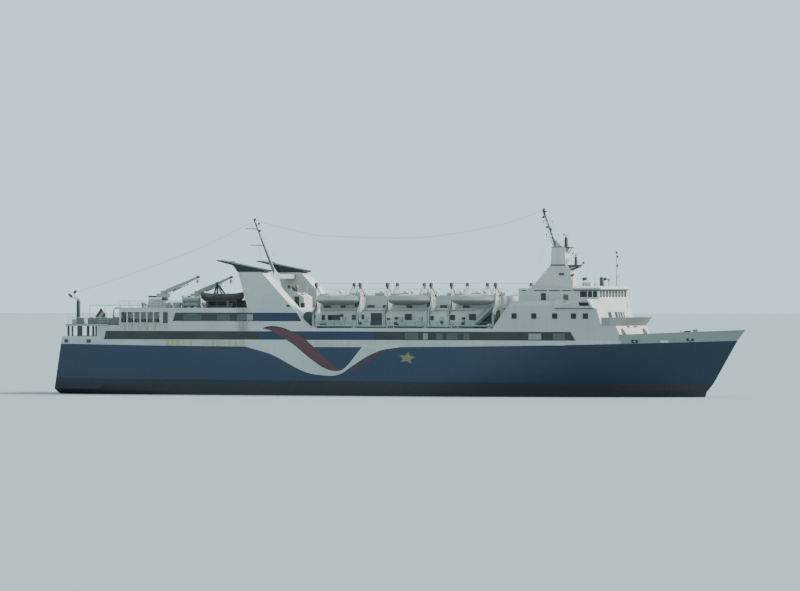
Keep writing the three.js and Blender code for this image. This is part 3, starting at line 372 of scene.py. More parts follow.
bronze = paint("bronze", (0.42, 0.275, 0.106), (0.33, 0.228, 0.106), (0.2, 0.19, 0.114),
               0.4, 0.3, metallic=0.9)
glass = paint("glass", (0.02, 0.021, 0.022), (0.032, 0.033, 0.034), (0.042, 0.042, 0.042), 0.3, 0.14,
              dishing=0.05)
dark_glass = paint("dark_glass", (0.007, 0.008, 0.009), (0.01, 0.011, 0.012), (0.014, 0.015, 0.015), 0.3,
                   0.2, dishing=0.05)
# Pale grey glass: a painted reflection, for the wheelhouse front.
glass_painted_reflection = paint("glass_painted_reflection", (0.11, 0.12, 0.11), (0.08, 0.09, 0.083), (0.06, 0.066, 0.062), 0.4, 0.2,
                     dishing=0.05)
blind = paint("blind", (0.075, 0.088, 0.082), (0.06, 0.072, 0.068), (0.055, 0.06, 0.06), 0.4, 0.3,
              dishing=0.05)
pale_blind = paint("pale_blind", (0.22, 0.24, 0.235), (0.17, 0.19, 0.185), (0.14, 0.15, 0.15), 0.4, 0.5,
                   dishing=0.05)
# A brighter white: painted light on walls that stand in shade, and the plain white of lamps and painted
# lines.
bright_white_and_painted_light = paint("bright_white_and_painted_light", (0.66, 0.655, 0.616), (0.58, 0.58, 0.546), (0.45, 0.437, 0.387),
                     0.3, 0.5)
deep_brown = paint("deep_brown", (0.075, 0.068, 0.06), (0.11, 0.1, 0.085), (0.16, 0.15, 0.13), 0.35, 0.6,
                   grain=0.4)
# The bulwarks' white, darkened to grey as painted shade.
bulwark_painted_shade = paint("bulwark_painted_shade", (0.235, 0.258, 0.237), (0.205, 0.232, 0.213), (0.16, 0.17, 0.152),
                     0.35, 0.55)
# Grey of poles and rails, also used for painted shadow under the eaves and the wings and at a wall's foot.
pole_grey_and_painted_shadow = paint("pole_grey_and_painted_shadow", (0.12, 0.145, 0.155), (0.1, 0.12, 0.13), (0.09, 0.09, 0.09), 0.3, 0.5)
# Dark grey as painted shade, for the posts of the mooring opening and the stern post.
post_painted_shade = paint("post_painted_shade", (0.04, 0.05, 0.056), (0.034, 0.042, 0.047), (0.03, 0.033, 0.034), 0.3, 0.55)
flag_white = paint("flag_white", (0.34, 0.33, 0.31), roughness=0.85)
flag_red = paint("flag_red", (0.17, 0.045, 0.036), (0.14, 0.04, 0.034), (0.1, 0.034, 0.031), 0.3, 0.85)
floor_grey = paint("floor_grey", (0.26, 0.305, 0.32), (0.255, 0.3, 0.315), (0.25, 0.295, 0.31), 0.1, 0.9,
                   dishing=0.0)
floor.data.materials.append(floor_grey)
print("paints:", len(paints))

# %% [markdown]
# Small shapes come from helpers that add to one bmesh: a box, an extruded outline, a lofted skin, a round
# bar and a turned shape. One mesh holds a whole family of like things, which keeps the scene light. Each
# call names its paint, and a face stores that paint's number.

# %% Mesh helpers
BOX_FACES = [(0, 2, 3, 1), (4, 5, 7, 6), (0, 1, 5, 4), (2, 6, 7, 3), (0, 4, 6, 2), (1, 3, 7, 5)]
PLANES = {"XY": lambda a, b, c: (a, b, c), "XZ": lambda a, b, c: (a, c, b), "YZ": lambda a, b, c: (c, a, b)}
AXES = {"X": Vector((1, 0, 0)), "Y": Vector((0, 1, 0)), "Z": Vector((0, 0, 1))}


def add_faces(bm, points, faces, finish):
    corners = [bm.verts.new(point) for point in points]
    number = paints.index(finish)
    for face in faces:
        bm.faces.new([corners[i] for i in face]).material_index = number


def around(middle, half):
    return middle - half, middle + half


def on_side(side, inner, outer):
    """Y from and to on one side of the ship, from its distances to the centreline."""
    return (inner, outer) if side > 0 else (-outer, -inner)


def add_box(bm, xs, ys, zs, finish):
    add_faces(bm, [(x, y, z) for x in xs for y in ys for z in zs], BOX_FACES, finish)


def add_boxes(bm, rows):
    """Boxes from rows of X, Y and Z from and to, and the paint."""
    for xs, ys, zs, finish in rows:
        add_box(bm, xs, ys, zs, finish)


def add_side_boxes(bm, rows):
    """The same on both sides of the ship, with Y as distances from the centreline."""
    for _, side in SIDES:
        add_boxes(bm, [(xs, on_side(side, *ys), zs, finish) for xs, ys, zs, finish in rows])


def add_prism(bm, plane, outline, span, finish):
    """An outline in one plane, extruded along the third axis over span."""
    place, count = PLANES[plane], len(outline)
    points = [place(a, b, c) for c in span for a, b in outline]
    faces = [tuple(range(count)), tuple(range(2 * count - 1, count - 1, -1))]
    faces += [(i, (i + 1) % count, (i + 1) % count + count, i + count) for i in range(count)]
    add_faces(bm, points, faces, finish)


def add_loft(bm, rings, finish):
    """A closed skin over rings of points, all with the same count."""
    size, last = len(rings[0]), (len(rings) - 1) * len(rings[0])
    faces = [tuple(range(size)), tuple(range(last, last + size))]
    for start in range(0, last, size):
        for i in range(size):
            a, b = start + i, start + (i + 1) % size
            faces.append((a, b, b + size, a + size))
    add_faces(bm, [point for ring in rings for point in ring], faces, finish)


print("boxes, prisms and lofts ready")

# %% [markdown]
# Round bars are lofts too, over rings that stand square to the bar's run. A turned shape is a stack of rings
# on one foot, given as rows of height and radius.

# %% Round shapes
def ring_round(middle, along, radius, sides):
    helper = AXES["Z"] if abs(along.z) < 0.9 else AXES["X"]
    across = along.cross(helper).normalized()
    up = along.cross(across)
    turns = [2 * math.pi * (i + 0.5) / sides for i in range(sides)]
    return [middle + (across * math.cos(t) + up * math.sin(t)) * radius for t in turns]


def add_rod(bm, start, end, radius, finish, sides=8, end_radius=None):
    start, end = Vector(start), Vector(end)
    along = (end - start).normalized()
    last_radius = radius if end_radius is None else end_radius
    rings = [ring_round(start, along, radius, sides), ring_round(end, along, last_radius, sides)]
    add_loft(bm, rings, finish)


def add_bar(bm, axis, middle, half_length, radius, finish, sides=8):
    """A round bar along one axis, centred on middle."""
    reach = AXES[axis] * half_length
    add_rod(bm, Vector(middle) - reach, Vector(middle) + reach, radius, finish, sides)


def add_bent_rod(bm, points, radius, finish, sides=6):
    """One continuous round bar through all the points."""
    points = [Vector(point) for point in points]
    rings = []
    for i, point in enumerate(points):
        along = (points[min(i + 1, len(points) - 1)] - points[max(i - 1, 0)]).normalized()
        rings.append(ring_round(point, along, radius, sides))
    add_loft(bm, rings, finish)


def add_turned(bm, foot, profile, finish, sides=16):
    """A turned shape on foot, with its profile as height and radius."""
    up = AXES["Z"]
    add_loft(bm, [ring_round(Vector(foot) + up * dz, up, radius, sides) for dz, radius in profile], finish)


def add_plate(bm, corners, proud, finish, root=0.05):
    """A flat plate on a slanted wall: its corners lie on the wall, it stands proud and reaches in by root."""
    corners = [Vector(corner) for corner in corners]
    normal = (corners[1] - corners[0]).cross(corners[2] - corners[1]).normalized()
    add_loft(bm, [[corner + normal * shift for corner in corners] for shift in (-root, proud)], finish)


print("round shapes and plates ready")

# %% [markdown]
# Every family of shapes ends in close_piece(). It makes the faces look outwards, scales the mesh to the
# model, gives it the paints that its faces use, rounds its edges where asked and lets it ride on its body.

# %% Finish of a piece
SHARP_ANGLE = math.radians(32)
BEVEL_SEGMENTS = 2


def to_mesh(name, bm):
    """Turns a bmesh in ship metres into an object in model metres, with the paints that it uses."""
    bmesh.ops.recalc_face_normals(bm, faces=bm.faces)
    bmesh.ops.translate(bm, vec=(0, 0, RISE), verts=bm.verts)
    bmesh.ops.scale(bm, vec=(SHIP, SHIP, SHIP), verts=bm.verts)
    used = sorted({face.material_index for face in bm.faces})
    for face in bm.faces:
        face.material_index = used.index(face.material_index)
    mesh = bpy.data.meshes.new(name)
    bm.to_mesh(mesh)
    bm.free()
    for number in used:
        mesh.materials.append(paints[number])
    made = bpy.data.objects.new(name, mesh)
    bpy.context.scene.collection.objects.link(made)
    return made


def close_piece(name, bm, body="ship", bevel=0.0, smooth=False, replaces=()):
    piece = to_mesh(name, bm)
    if smooth:
        piece.data.shade_smooth()
        piece.data.set_sharp_from_angle(angle=SHARP_ANGLE)
    if bevel:
        edge = piece.modifiers.new("edge", "BEVEL")
        edge.width = bevel * SHIP
        edge.segments = BEVEL_SEGMENTS
        edge.limit_method = "ANGLE"
    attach(piece, body)
    if replaces:
        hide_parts(*replaces)
    print(name, len(piece.data.polygons), "faces")
    return piece


print("close_piece ready")

# %% [markdown]
# The solids that already have their real shape only get a finish. The houses are white, the decks are
# covered later, and the gear has the greys, browns and greens of the photograph.

# %% Finishes of the solids that keep their shape
BOTH = ("starboard", "port")
FINISHES = [
    (white_side, ["lower_house", "upper_house_aft", "upper_house_forward", "mooring_deck_frame"]),
    (white_side, [f"promenade_screen_{s}" for s in BOTH]),
    # The inner wall beside the boats takes the brighter white: painted light, as it stands in shade.
    (bright_white_and_painted_light, ["upper_house_inner"]),
    # The bulwarks are white plating, painted grey here as painted shade.
    (bulwark_painted_shade, ["front_bulwark", "bow_bulwark"]),
    (white_house, ["top_deckhouse", "boat_deck_house", "wheelhouse_walls", "wheelhouse_roof", "vent_house"]),
    (white_house, ["foremast", *(f"{part}_{s}" for part in ("bridge_wing", "funnel") for s in BOTH)]),
    (white_house, [f"crane_pedestal_{s}" for s in BOTH]),
    (roof_grey, ["aft_mast", *(f"davit_{s}_{n}" for s in BOTH for n in (1, 2, 3))]),
    (screen_green, ["aft_deck_c", "windlass"]),
    (fin_dark, [f"funnel_fin_{s}" for s in BOTH]),
    (cradle_pink, ["boat_cradle"]),
    (hull_blue, ["stern_ramp"]),
    (antifouling, [f"rudder_{s}" for s in BOTH]),
    (bronze, [f"propeller_{s}" for s in BOTH]),
    (grey_gear, ["stern_light_post", "radar_scanner_lower", "radar_scanner_upper"]),
    (grey_gear, [f"{part}_{s}" for part in ("crane_head", "crane_boom", "raft_rack") for s in BOTH]),
]
for finish, names in FINISHES:
    for name in names:
        nodes[name].data.materials.clear()
        nodes[name].data.materials.append(finish)
print("dressed:", sum(len(names) for _, names in FINISHES), "of", len(nodes))

# %% [markdown]
# The hull is the one big curved form. Its breadth at any place comes from short tables by height: where the
# bow begins to narrow, how fast, and the same for the stern. These are the tables that the solid was made
# from, read here with many more stations.

# %% Hull form
# Each table: height, value at that height
STEM_X = [(-5, 45.6), (-4, 47.7), (-2.5, 48.9), (0, 49.8), (1.3, 50.9), (7.6, 54.6), (9.4, 56.0)]
ENTRY_START_X = [(-5, -4), (0, 6), (7, 18), (9.4, 19)]
ENTRY_POWER = [(-5, 1.7), (0, 1.75), (7, 2.3), (9.4, 2.35)]
HALF_WIDTH = [(-5, 7.0), (-4.9, 7.9), (-4.5, 8.4), (-3.8, 8.7), (-3, HALF_BEAM)]
STERN_X = [(-5, -37), (-1.2, -55.6), (0, -55.94), (7.13, -54.46), (9.4, -54.0)]
RUN_START_X = [(-5, -14), (-1, -24), (0, -35), (9.4, -40)]
STERN_HALF_WIDTH = [(-5, 0.3), (-3, 0.3), (-1.8, 1.2), (-1.2, 4.2), (-0.6, 6.9), (0, 7.9), (7, 8.6)]
RUN_POWER = 3
# The lowest point of the white, and how fast it rises aft and forward of there
WHITE_LOW_X, WHITE_LOW_Z, WHITE_RISE_AFT, WHITE_RISE_FORWARD = -10, 6.65, 0.00018, 0.00026
BOOT_AFT_Z, BOOT_DROP, WATERLINE_LENGTH = 1.66, 0.46, 112


def read_table(table, key):
    if key <= table[0][0]:
        return table[0][1]
    for (k0, v0), (k1, v1) in zip(table, table[1:]):
        if key <= k1:
            return v0 + (v1 - v0) * (key - k0) / (k1 - k0)
    return table[-1][1]


def half_width(x, z):
    widest = read_table(HALF_WIDTH, z)
    entry, run = read_table(ENTRY_START_X, z), read_table(RUN_START_X, z)
    if x > entry:
        t = min((x - entry) / (read_table(STEM_X, z) - entry), 1.0)
        return widest * (1 - t ** read_table(ENTRY_POWER, z))
    if x < run:
        t = min((run - x) / (run - read_table(STERN_X, z)), 1.0)
        stern_width = read_table(STERN_HALF_WIDTH, z)
        return stern_width + (widest - stern_width) * (1 - t ** RUN_POWER)
    return widest


def white_line(x):
    """Height where the blue of the hull meets the white, curved up to both ends."""
    rise = WHITE_RISE_FORWARD if x > WHITE_LOW_X else WHITE_RISE_AFT
    return WHITE_LOW_Z + rise * (x - WHITE_LOW_X) ** 2


def boot_line(x):
    """Height where the dark boot-top meets the blue."""
    return BOOT_AFT_Z - BOOT_DROP * (x + WATERLINE_LENGTH / 2) / WATERLINE_LENGTH


print("half breadth at the front of the houses:", round(half_width(FRONT_X, DECK_B), 2))

# %% [markdown]
# The hull's skin is a grid: columns run from the transom to the stem, and rows follow the paint lines, so
# the colours change exactly on edges of faces. The last column closes both sides in the stem.

# %% Hull skin
COLUMNS = 180
CROWDING = 0.06  # draws the columns together at both ends
UNDERWATER_LEVELS = [-5, -4.97, -4.9, -4.75, -4.5, -4.2, -3.8, -3.3, -2.7, -2.0, -1.6, -1.2, -0.9, -0.6,
                     -0.3, 0]
BLUE_ROWS, BOOT_ROWS = 8, 2
BOOT_FOOT_Z = -0.7  # the dark boot-top starts a little under water
LEAST_HALF_WIDTH, LEAST_ROW = 0.02, 0.02
TRANSOM_FOOT_X, STEM_HEAD_X = STERN_X[2][1], STEM_X[5][1]


def row_levels(x):
    """Heights of the rows of one column, each with the paint of the row below it."""
    boot, white = boot_line(x), white_line(x)
    levels = [(z, antifouling if z < BOOT_FOOT_Z else boot_black) for z in UNDERWATER_LEVELS]
    levels += [(boot * (i + 1) / BOOT_ROWS, boot_black) for i in range(BOOT_ROWS)]
    levels += [(boot + (white - boot) * (i + 1) / BLUE_ROWS, hull_blue) for i in range(BLUE_ROWS)]
    return levels + [(max(FOREDECK, white + LEAST_ROW), white_side)]


def hull_column(c):
    """Points of one column on one side, from the keel up, each with the paint of the row below it."""
    share = c / COLUMNS
    share -= CROWDING * math.sin(2 * math.pi * share)
    column = []
    for z, finish in row_levels(TRANSOM_FOOT_X + (STEM_HEAD_X - TRANSOM_FOOT_X) * share):
        stern = read_table(STERN_X, z)
        x = stern + (read_table(STEM_X, z) - stern) * share
        y = 0.0 if c == COLUMNS else max(half_width(x, z), LEAST_HALF_WIDTH)
        column.append((x, y, z, finish))
    return column


def add_distinct_face(bm, corners, finish):
    distinct = list(dict.fromkeys(corners))
    if len(distinct) > 2:
        bm.faces.new(distinct).material_index = paints.index(finish)


def hull_skin():
    bm = bmesh.new()
    grid = [hull_column(c) for c in range(COLUMNS + 1)]
    rows = len(grid[0])
    starboard = [[bm.verts.new((x, -y, z)) for x, y, z, _ in column] for column in grid]
    port = [[bm.verts.new((x, y, z)) for x, y, z, _ in column] for column in grid[:-1]] + [starboard[-1]]
    for c in range(COLUMNS):
        for skin in (starboard, port):
            for r in range(rows - 1):
                finish = grid[c][r + 1][3]
                # Forward of the houses the white of the bulwark plating is grey, as painted shade.
                if finish == white_side and grid[c][r][0] > FRONT_X:
                    finish = bulwark_painted_shade
                corners = [skin[c][r], skin[c + 1][r], skin[c + 1][r + 1], skin[c][r + 1]]
                add_distinct_face(bm, corners, finish)
        for r, finish in ((0, antifouling), (rows - 1, deck_green)):
            add_distinct_face(bm, [starboard[c][r], starboard[c + 1][r], port[c + 1][r], port[c][r]], finish)
    for r in range(rows - 1):
        corners = [starboard[0][r], port[0][r], port[0][r + 1], starboard[0][r + 1]]
        add_distinct_face(bm, corners, grid[0][r + 1][3])
    return bm


hull = close_piece("hull", hull_skin(), smooth=True,
                   replaces=["hull_bottom", "hull_side_starboard", "hull_side_port", "hull_bow", "hull_stern",
                             "main_deck"])

# %% [markdown]
# The vehicle deck is cut out of the hull as on the real ship, from the doorway in the transom forward, and
# so is the step in front of the deckhouses. A Boolean modifier takes a hidden box away, and the cut faces get
# the box's paint.

# %% Cut the vehicle deck
DOORWAY_HALF, DOORWAY_TOP = 6.1, 6.1
HOLD_HALF = 7.0
FAR_AFT_X, FAR_OUT_Y, FAR_UP = -60, 20, 4  # past the hull
HOLD_LOW, HOLD_HIGH = ship_box("hull_side_starboard")
CAR_DECK = ship_box("hull_bottom")[1].z


def carve(piece, boxes):
    """Cuts the boxes out of the piece's mesh."""
    cutters = []
    for box in boxes:
        bm = bmesh.new()
        add_box(bm, *box)
        cutters.append(to_mesh("cutter", bm))
        modifier = piece.modifiers.new("cut", "BOOLEAN")
        modifier.object = cutters[-1]
        modifier.solver = "EXACT"
        modifier.material_mode = "TRANSFER"
    graph = bpy.context.evaluated_depsgraph_get()
    carved = bpy.data.meshes.new_from_object(piece.evaluated_get(graph))
    piece.modifiers.clear()
    piece.data = carved
    for cutter in cutters:
        bpy.data.objects.remove(cutter)


carve(hull, [
    ((HOLD_LOW.x, HOLD_HIGH.x), around(0, HOLD_HALF), (CAR_DECK, HOLD_HIGH.z), roof_grey),
    ((FAR_AFT_X, HOLD_LOW.x + 1), around(0, DOORWAY_HALF), (CAR_DECK, DOORWAY_TOP), roof_grey),
    ((FAR_AFT_X, FRONT_X), around(0, FAR_OUT_Y), (DECK_B, DECK_B + FAR_UP), deck_green),
])
print("hull faces after the cuts:", len(hull.data.polygons))

# %% [markdown]
# Under water sit the parts that drive and steer the ship: two shaft lines in brackets, the trunks above the
# rudders, a skeg on the centreline and a small bulb at the bow. Each is a plain turned or tapered form.

# %% Underwater gear
SHAFT_Y, SHAFT_Z, SHAFT_RADIUS = 3.6, -3.45, 0.22
SHAFT_START_X, SHAFT_END_X = -36.0, -48.9
BOSS_X = SHAFT_END_X + 0.6
BOSS = [(-0.5, 0.3), (-0.42, 0.34), (0.42, 0.34), (0.9, 0.23)]  # X from the boss's middle, radius
STRUT_PROFILE = [(0.4, 0.0), (0.2, 0.1), (-0.25, 0.11), (-0.45, 0.0), (-0.25, -0.11), (0.2, -0.1)]
STRUT_TOPS = [(SHAFT_Y - 1.4, -0.9), (SHAFT_Y + 0.7, -0.9)]  # Y, Z
TRUNK_PROFILE = [(0.55, 0.0), (0.35, 0.3), (-0.35, 0.3), (-0.55, 0.0), (-0.35, -0.3), (0.35, -0.3)]
STOCK_X, TRUNK_ZS = -52.3, (-1.95, -0.3)
SKEG = [(-34, -5.0), (-49.5, -4.5), (-50.5, -3.2), (-51.0, -1.0), (-34, -2.5)]
SKEG_HALF_THICK = 0.26
BULB_MIDDLE, BULB_HALF = Vector((48.3, 0, -3.3)), (3.6, 1.15, 1.35)
BULB_RINGS, BULB_SIDES = 17, 28

bm = bmesh.new()
for _, side in SIDES:
    y = side * SHAFT_Y
    add_rod(bm, (SHAFT_START_X, y, SHAFT_Z), (SHAFT_END_X, y, SHAFT_Z), SHAFT_RADIUS, antifouling, 24)
    boss = [ring_round(Vector((BOSS_X + dx, y, SHAFT_Z)), AXES["X"], radius, 24) for dx, radius in BOSS]
    add_loft(bm, boss, antifouling)
    for top in STRUT_TOPS:
        add_loft(bm, [[(BOSS_X + px, side * at + py, z) for px, py in STRUT_PROFILE]
                      for at, z in ((SHAFT_Y, SHAFT_Z), top)], antifouling)
    add_loft(bm, [[(STOCK_X + px, y + py, z) for px, py in TRUNK_PROFILE] for z in TRUNK_ZS], antifouling)
close_piece("shaft_lines", bm, smooth=True)

bm = bmesh.new()
add_prism(bm, "XZ", SKEG, around(0, SKEG_HALF_THICK), antifouling)
rings = []
for i in range(BULB_RINGS):
    t = -math.cos(math.pi * (i + 0.25) / (BULB_RINGS - 0.5))
    wide = math.sqrt(max(1 - t * t, 0.0001))
    ring = []
    for k in range(BULB_SIDES):
        turn = 2 * math.pi * k / BULB_SIDES
        shares = (t, wide * math.cos(turn), wide * math.sin(turn))
        ring.append(BULB_MIDDLE + Vector([half * share for half, share in zip(BULB_HALF, shares)]))
    rings.append(ring)
add_loft(bm, rings, antifouling)
close_piece("skeg_and_bulb", bm, smooth=True)

# %% [markdown]
# The sweeping marks on the side are paint. Each is a thin sheet of its own just proud of the plates, drawn
# as a smooth curve through a few points, which keeps its edge crisp from near and far. The side is flat
# there, so the sheets are flat too.

# %% Painted sweep
PATCH_STEP = 0.009  # each layer of paint stands this much prouder
PATCH_ROOT = 0.02
# Edges as X, Z from aft to forward
WHITE_LOWER = [(-22.7, 6.68), (-18.5, 5.55), (-16.1, 4.44), (-13.9, 3.34), (-11.7, 2.57), (-8.5, 2.24),
               (-6.6, 2.57), (-4.7, 3.77), (-2.3, 5.2), (0.05, 6.17), (1.7, 6.46), (3.4, 6.68)]
WHITE_UPPER = [(3.4, 7.02), (-3.0, 7.02)]  # from forward to aft, and so is WHITE_AFT
INNER_EDGE = [(-15.4, 7.6), (-13.9, 6.52), (-12.5, 5.43), (-11.1, 4.44), (-9.7, 3.56), (-8.3, 3.07),
              (-6.9, 3.02), (-5.8, 3.56), (-4.6, 4.87), (-3.7, 5.97), (-3.1, 6.6)]
WHITE_AFT = [(-15.6, 7.75), (-22.7, 7.75)]
RED_TOP = [(-19.65, 9.6), (-18.4, 9.85), (-16.8, 9.7), (-15.4, 9.26), (-13.8, 8.6), (-12.6, 7.83),
           (-11.4, 6.85), (-10.3, 5.97), (-9.1, 4.98), (-8.0, 4.1), (-6.9, 3.24)]
RED_BOTTOM = [(-19.4, 9.45), (-18.3, 9.1), (-17.2, 8.55), (-15.9, 7.85), (-14.6, 7.02), (-13.9, 6.52),
              (-12.5, 5.43), (-11.1, 4.44), (-9.7, 3.56), (-8.3, 3.07), (-7.0, 3.0)]
WINE_LOWER = [(-5.1, 2.9), (-3.6, 3.35), (-2.0, 4.35), (-0.6, 5.25), (0.6, 5.95), (1.9, 6.35)]
WINE_UPPER = [(-4.7, 3.77), (-2.3, 5.2), (0.05, 6.17), (1.7, 6.46)]
DARK_EDGE_POINTS, DARK_EDGE_WIDTH = 30, 0.22  # the red one has a dark edge along the aft part of its top


def smooth_line(points, steps=6):
    """A smooth curve through all the points."""
    full = [points[0], *points, points[-1]]
    line = []
    for a, b, c, d in zip(full, full[1:], full[2:], full[3:]):
        for i in range(steps):
            t = i / steps
            line.append(tuple(
                0.5 * (2 * q + (r - p) * t + (2 * p - 5 * q + 4 * r - s) * t ** 2
                       + (3 * q - p - 3 * r + s) * t ** 3)
                for p, q, r, s in zip(a, b, c, d)))
    return [*line, points[-1]]


def add_patch(bm, outline, layer, finish):
    """A flat sheet of paint on both sides of the ship."""
    for _, side in SIDES:
        span = on_side(side, HALF_BEAM - PATCH_ROOT, HALF_BEAM + PATCH_STEP * layer)
        add_prism(bm, "XZ", outline, span, finish)


bm = bmesh.new()
white_inner = smooth_line(INNER_EDGE)[::-1][1:]
add_patch(bm, smooth_line(WHITE_LOWER) + WHITE_UPPER + white_inner + WHITE_AFT, 1, livery_white)
add_patch(bm, smooth_line(WINE_UPPER) + smooth_line(WINE_LOWER)[::-1], 2, livery_wine)
add_patch(bm, smooth_line(RED_TOP) + smooth_line(RED_BOTTOM)[::-1], 3, livery_red)
dark_top = smooth_line(RED_TOP)[:DARK_EDGE_POINTS]
dark_foot = [(x, z - DARK_EDGE_WIDTH * (1 - i / DARK_EDGE_POINTS)) for i, (x, z) in enumerate(dark_top)]
add_patch(bm, dark_top + dark_foot[::-1], 4, fin_dark)
close_piece("painted_sweep", bm)

# %% [markdown]
# The star is a five-pointed outline, stretched along the ship and slightly turned.

# %% Star
STAR_X, STAR_Z = 4.39, 5.02
STAR_HALF_LENGTH, STAR_HALF_HEIGHT = 1.45, 0.95
STAR_TILT = math.radians(-9)
STAR_INNER = 0.47  # how far out the inner corners lie, as a share of the points

outline = []
for i in range(10):
    radius = 1.0 if i % 2 == 0 else STAR_INNER
    turn = math.pi / 2 + math.pi * i / 5 + STAR_TILT
    outline.append((STAR_X + STAR_HALF_LENGTH * radius * math.cos(turn),
                    STAR_Z + STAR_HALF_HEIGHT * radius * math.sin(turn)))
bm = bmesh.new()
add_patch(bm, outline, 1, livery_ochre)
close_piece("star", bm)

# %% [markdown]
# Two long dark bands of windows run along each side. A band is one strip that follows the side's curve,
# with panes set proud of it. Its panes differ: most are dark, some have their blinds down, so a seeded random
# choice picks the paint of each. Part of each band is only blue paint.

# %% Window bands
STRIP_STEP = 1.5
# Bottom X from and to, top X from and to, Z from and to, X where the band is only blue paint
BANDS = [
    ((-46.9, 31.55), (-46.6, 30.84), (7.75, 9.05), (-20.4, -1.0)),
    ((-35.1, -13.2), (-34.6, -14.0), (10.6, 11.9), (-21.2, -14.2)),
]
PANE_LENGTH, PANE_GAP, PANE_MARGIN = 1.75, 0.12, 0.16
FIRST_PANE_INSET, LAST_PANE_INSET = 0.5, 0.6
BLIND_SHARE = 0.22
PALE_ZS = (0.1, -0.25)  # from the band's lower and upper edge
# Panes that look pale in the photograph: band, X from and to, paint
PALE_PANES = [
    (0, (4.24, 6.3), blind), (0, (7.04, 7.85), pale_blind), (0, (9.23, 10.26), blind),
    (0, (10.92, 12.81), blind), (0, (13.71, 14.7), blind), (0, (24.27, 26.29), pale_blind),
    (0, (28.15, 29.97), blind), (1, (-33.19, -30.15), blind), (1, (-27.5, -25.29), blind),
    (1, (-24.1, -23.09), blind), (1, (-22.41, -21.39), pale_blind),
]


def add_strips(bm, xs, zs, proud, finish, top_xs=None, form_z=DECK_B, thick=0.05):
    """A closed strip on both sides, along their curve at the height form_z; top_xs slants its ends."""
    top_xs = top_xs or xs
    count = max(2, math.ceil((xs[1] - xs[0]) / STRIP_STEP) + 1)
    for _, side in SIDES:
        rings = []
        for i in range(count):
            t = i / (count - 1)
            low_x = xs[0] + t * (xs[1] - xs[0])
            high_x = top_xs[0] + t * (top_xs[1] - top_xs[0])
            corners = ((low_x, zs[0], 0), (high_x, zs[1], 0), (high_x, zs[1], thick), (low_x, zs[0], thick))
            rings.append([(x, side * (half_width(x, form_z) + proud - inward), z)
                          for x, z, inward in corners])
        add_loft(bm, rings, finish)


random.seed(7)
bm = bmesh.new()
for bottom, top, (z0, z1), painted in BANDS:
    add_strips(bm, bottom, (z0, z1), 0.012, glass, top_xs=top)
    add_strips(bm, painted, (z0, z1), 0.02, strip_blue_and_stair_shadow)
    x = bottom[0] + FIRST_PANE_INSET
    while x + PANE_LENGTH < bottom[1] - LAST_PANE_INSET:
        pane = random.choices((glass, blind), (1 - BLIND_SHARE, BLIND_SHARE))[0]
        if x > painted[1] or x + PANE_LENGTH < painted[0]:
            add_strips(bm, (x, x + PANE_LENGTH), (z0 + PANE_MARGIN, z1 - PANE_MARGIN), 0.022, pane)
        x += PANE_LENGTH + PANE_GAP
for band, xs, pane in PALE_PANES:
    add_strips(bm, xs, [z + shift for z, shift in zip(BANDS[band][2], PALE_ZS)], 0.03, pane)
close_piece("window_bands", bm)

# %% [markdown]
# The blue of the hull runs a little way up the foot of the lower house, because its edge curves up towards
# the bow. A strip that follows the side carries it across the joint of the two.

# %% Blue foot of the lower house
BLUE_FOOT_X = 30.0
BLUE_FOOT_STEPS = 8
BLUE_FOOT_LOW = DECK_B - 0.2
BLUE_FOOT_OUT, BLUE_FOOT_IN = 0.012, -0.03

bm = bmesh.new()
for _, side in SIDES:
    rings = []
    for i in range(BLUE_FOOT_STEPS + 1):
        x = BLUE_FOOT_X + (FRONT_X - BLUE_FOOT_X) * i / BLUE_FOOT_STEPS
        outer, inner = [side * (half_width(x, DECK_B) + out) for out in (BLUE_FOOT_OUT, BLUE_FOOT_IN)]
        top = white_line(x)
        rings.append([(x, outer, BLUE_FOOT_LOW), (x, outer, top), (x, inner, top), (x, inner, BLUE_FOOT_LOW)])
    add_loft(bm, rings, hull_blue)
close_piece("blue_foot", bm)

# %% [markdown]
# Deck coverings: a steel deck is painted in a dark non-slip colour, and house roofs are paler. Each covering
# is a sheet 12 mm thick that stops a little short of the deck's edge, where the white gutter bar shows.

# %% Deck coverings
COVER_THICK = 0.012
SLOPE_FOOT_X, FORWARD_FOOT_X = -11.6, 18.35  # where the funnels end and the forward house begins
BOAT_DECK_XS = (SLOPE_FOOT_X, FORWARD_FOOT_X)
INNER_WALL, BOAT_HOUSE_WALL, TOP_HOUSE_WALL = 5.2, 4.8, 6.0
BOAT_HOUSE_ROOF = ship_box("boat_deck_house")[1].z
# X from and to, distance from the centreline from and to, height of the deck
SIDE_COVERS = [
    (BOAT_DECK_XS, (INNER_WALL + 0.02, 8.55), RECESS),
    (BOAT_DECK_XS, (BOAT_HOUSE_WALL + 0.02, INNER_WALL - 0.04), DECK_D),
    ((-44.1, -37.3), (6.65, 8.6), DECK_C),
    ((21.9, 28.2), (TOP_HOUSE_WALL + 0.02, 8.2), DECK_D),
]
# X from and to, half breadth, height of the deck
FULL_COVERS = [((-44.1, -22.6), 8.6, DECK_D), ((-22.2, -15.2), 6.1, DECK_D)]
ROOF_COVERS = [((-10.9, 18.6), 4.7, BOAT_HOUSE_ROOF), ((28.4, 30.4), 5.9, ROOF)]

bm = bmesh.new()
add_side_boxes(bm, [(xs, ys, (z, z + COVER_THICK), deck_green) for xs, ys, z in SIDE_COVERS])
add_boxes(bm, [(xs, around(0, half), (z, z + COVER_THICK), deck_green) for xs, half, z in FULL_COVERS])
close_piece("deck_coverings", bm)

bm = bmesh.new()
add_boxes(bm, [(xs, around(0, half), (z, z + COVER_THICK), roof_grey) for xs, half, z in ROOF_COVERS])
close_piece("roof_coverings", bm)

# %% [markdown]
# Windows and doors in the flat walls are small boxes: a frame that stands 30 mm proud, and a pane a little
# prouder inside it. The places are read from the photograph.

# %% Windows and doors in flat walls
FRAME_RIM = 0.07
FRAME_PROUD, PANE_PROUD, OPENING_ROOT = 0.03, 0.04, 0.02
